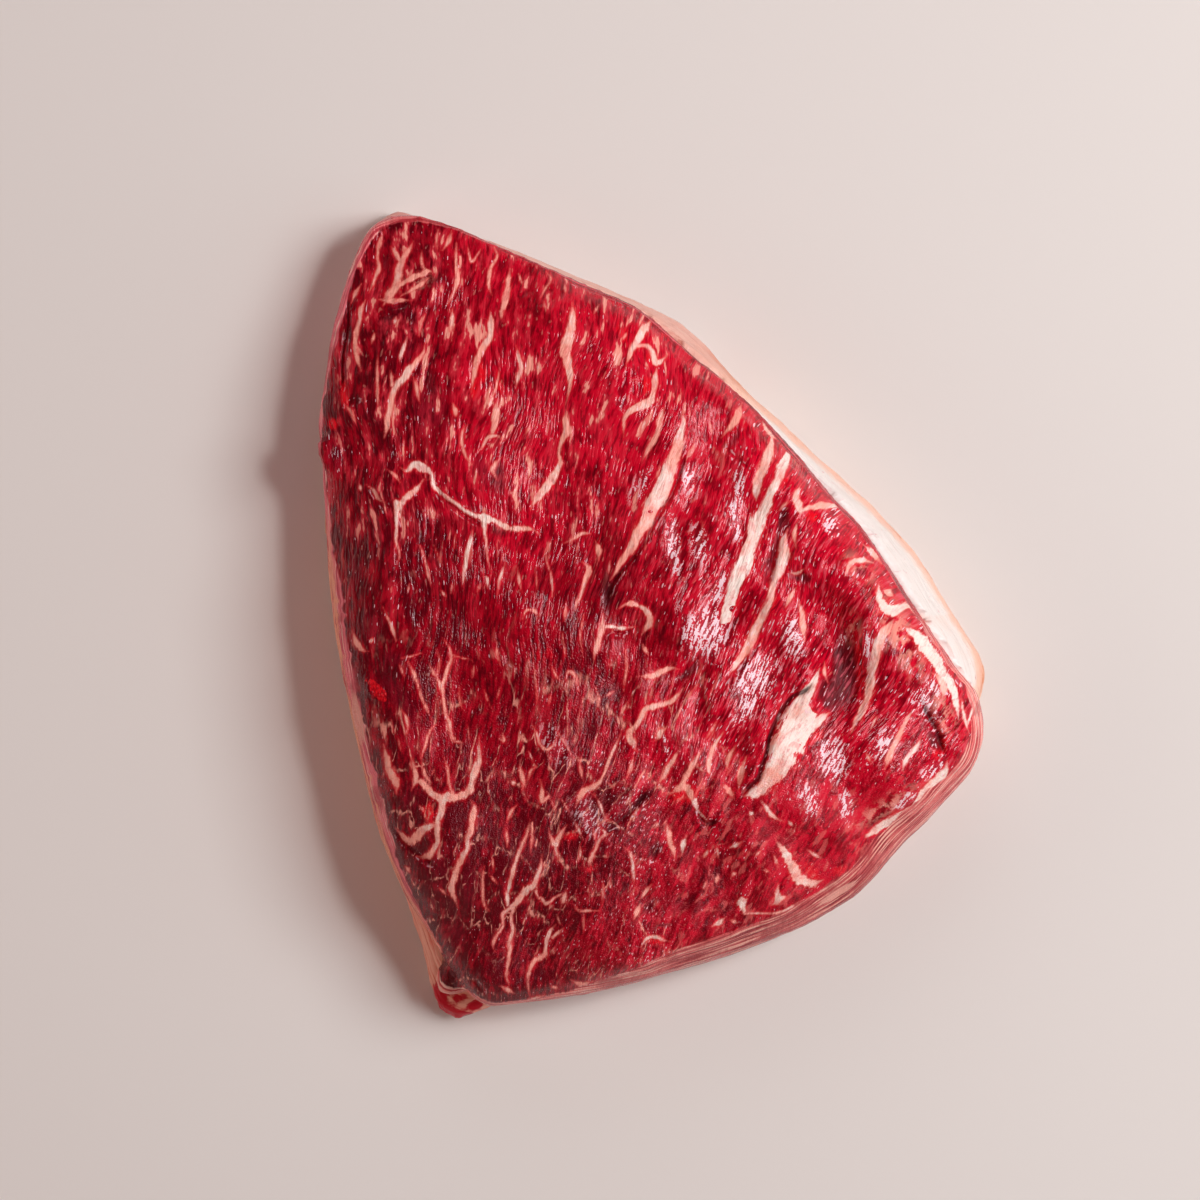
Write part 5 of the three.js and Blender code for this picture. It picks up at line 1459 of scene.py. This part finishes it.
at, out = places(fat)
turn, inset = round_and_inset(at)
rise = inset + at[:, 2]
ring = np.column_stack([np.cos(turn), np.sin(turn)])
facing_in = -(out[:, :2] * ring).sum(axis=1)
off_the_table = ease(1.0, 4.0, at[:, 2])
lip = ease(0.1, 0.5, facing_in) * ease(4, 10, at[:, 2]) * ease(-40, -30, np.degrees(turn))
wrinkles = 0.35 * fractal(np.column_stack([ring * 5.6, rise / 3.0]), seed=51) + 0.3 * fractal(at / 9, seed=57)
inward = np.column_stack([-ring, np.full(len(at), 0.5)])
moved = at + ((off_the_table - 0.8 * lip) * wrinkles)[:, None] * out
moved += LIP_LEAN * lip[:, None] * inward
moved = kept_inside(moved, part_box("fat_cap"))
move_to(fat, moved)
print("most moved (mm):", round(float(np.linalg.norm(moved - at, axis=1).max()), 2))

# %% [markdown]
# ## Fields for the fat's colours
# Its colour goes by direction: cream on the right, peach and pink stains towards the tip, a salmon
# wedge on the left. At the lower left tip a shred of lean is left on it.

# %% Fields of the fat
FLESH = [
    ((-65.5, -117.5), 5, 3, 95, 1), ((-63, -122.5), 5, 3.2, -40, 1), ((-58.5, -124), 5, 2.4, -8, 1),
    ((-54.5, -120.5), 4, 2, 20, 0.9), ((-60, -118.5), 3.5, 2.5, 0, 0.45),
]
direction = np.degrees(turn) % 360
peach = ease(48, 66, direction) * 0.7 + ease(112, 140, direction) * 0.4
save_fields(fat, {
    "ring_x": ring[:, 0],
    "ring_y": ring[:, 1],
    "rise": rise,
    "up": out[:, 2],
    "inset": inset,
    "cloud": fractal(at / 9, seed=63),
    "peach": peach - ease(325, 345, direction) * 0.95,
    "pink": (ease(56, 70, direction) + ease(100, 112, direction)) * 0.5 - ease(125, 140, direction),
    "wedge": ease(180, 195, direction) * (1 - ease(255, 268, direction)),
    "band": 1 - ease(60, 72, direction) + ease(330, 345, direction),
    "flesh": zone(at[:, :2], FLESH),
    "east": at[:, 0],
    "north": at[:, 1],
    "under": ease(0.3, 0.8, -out[:, 2]) * (1 - ease(2, 5, at[:, 2])),
})

# %% [markdown]
# ## The finish of the fat
# Raw fat scatters light, so it has no deep shadows: pale colours and a broad soft shine stand in for
# that. Thin lines and nicks run round it, and an orange edge follows its outline on the right.

# %% Finish of the fat
CREAM = colour(240, 226, 219)
PEACH = colour(248, 194, 170)
ORANGE = colour(224, 142, 106)
LINE = colour(206, 104, 84)
TIP_PINK = colour(222, 152, 146)
# Painted light in part: the wedge has its own salmon hue, made lighter because it lies in shade on the left.
WEDGE = colour(255, 184, 158)
WEDGE_LINE = colour(232, 104, 88)
FLESH_RED = colour(206, 22, 44)


def fat_side(f, lines, nicks):
    """The part that shows: cream, stains, the wedge on the left, lines and the shred of lean."""
    cloud, band = f.attribute("cloud"), f.attribute("band")
    inset = f.attribute("inset") + (nicks - 0.5) * 2 + cloud * 0.5 + (lines - 0.5) * 1.5
    edge_line = (1 - f.step(inset, 0.0, 0.9)) * f.step(f.attribute("up"), 0.05, 0.3)
    edge = ((1 - f.step(inset, 0.8, 4.4)) * 0.6 + edge_line * 0.5) * band
    stain = f.attribute("peach") + edge + cloud * 0.12 + (lines - 0.5) * 0.4
    skin = f.mix(f.step(stain, 0.05, 0.6), CREAM, PEACH)
    skin = f.mix(f.step(stain, 0.6, 1.15), skin, ORANGE)
    skin = f.mix(f.attribute("pink") * 0.8, skin, TIP_PINK)
    wedge = f.mix(f.step(lines + (nicks - 0.5) * 0.3, 0.35, 0.8), WEDGE, WEDGE_LINE)
    skin = f.mix(f.attribute("wedge"), skin, wedge)
    skin = f.mix(f.step(lines, 0.58, 0.7) * (0.55 - band * 0.45), skin, LINE)
    skin = f.mix(f.step(nicks + edge * 0.3, 0.72, 0.85) * (0.4 - band * 0.3), skin, LINE)
    return f.mix(f.step(f.attribute("flesh") + (nicks - 0.5) * 1.1, 0.15, 0.45), skin, FLESH_RED)


def fat_underside(f, east, north, pores):
    """An even waxy layer, clouded with peach and with a few faint red threads."""
    veil = f.noise(east / 24, north / 24, detail=4)
    bend = f.noise(east / 30 + 9, north / 30, detail=3)
    threads = 1 - f.step(f.absolute(bend - 0.5), 0.0, 0.012)
    cap = f.mix(f.step(veil + (pores - 0.5) * 0.4, 0.35, 0.75) * 0.75, CREAM, PEACH)
    cap = f.mix(f.step(pores, 0.6, 0.8) * 0.25, cap, ORANGE)
    return f.mix(threads * f.step(veil, 0.45, 0.6) * 0.3, cap, LINE)


def fat_finish():
    f = Finish("raw_fat")
    rise, under = f.attribute("rise"), f.attribute("under")
    east, north = f.attribute("east"), f.attribute("north")
    lines = f.ring(7, rise / 1.1, detail=3)
    nicks = f.ring(40, rise / 2.2, detail=2)
    pores = f.noise(east / 3, north / 3, detail=3)
    skin = f.mix(under, fat_side(f, lines, nicks), fat_underside(f, east, north, pores))
    height = (lines * 0.45 + nicks * 0.25) * (1 - under) + pores * 0.35 * under
    roughness = 0.36 + f.attribute("cloud") * 0.06 - f.attribute("flesh") * 0.16
    f.set(Base_Color=skin, Roughness=roughness, Normal=f.bump(height, 1.0 * MM))
    return f.material


dress(fat, fat_finish())
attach(fat, "root")
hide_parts("fat_cap")

# %% [markdown]
# ## The table
# A plain pale floor, a hair below the meat, so that the meat and its shadow are all that shows.

# %% Floor
TABLE = colour(229, 220, 214)
TABLE_WIDTH = 6.0
TABLE_TOP = -0.0002
bpy.ops.object.select_all(action="DESELECT")
bpy.ops.mesh.primitive_plane_add(size=TABLE_WIDTH, location=(0, 0, TABLE_TOP))
floor = bpy.context.object
floor.name = "floor"
table = Finish("pale_table")
table.set(Base_Color=TABLE, Roughness=0.7)
floor.data.materials.append(table.material)
print("floor (m):", tuple(round(side, 1) for side in floor.dimensions[:2]))

# %% [markdown]
# ## The end
# Last, the view layer is brought up to date. The dressed one must not be the larger.

# %% Finish
bpy.context.view_layer.update()
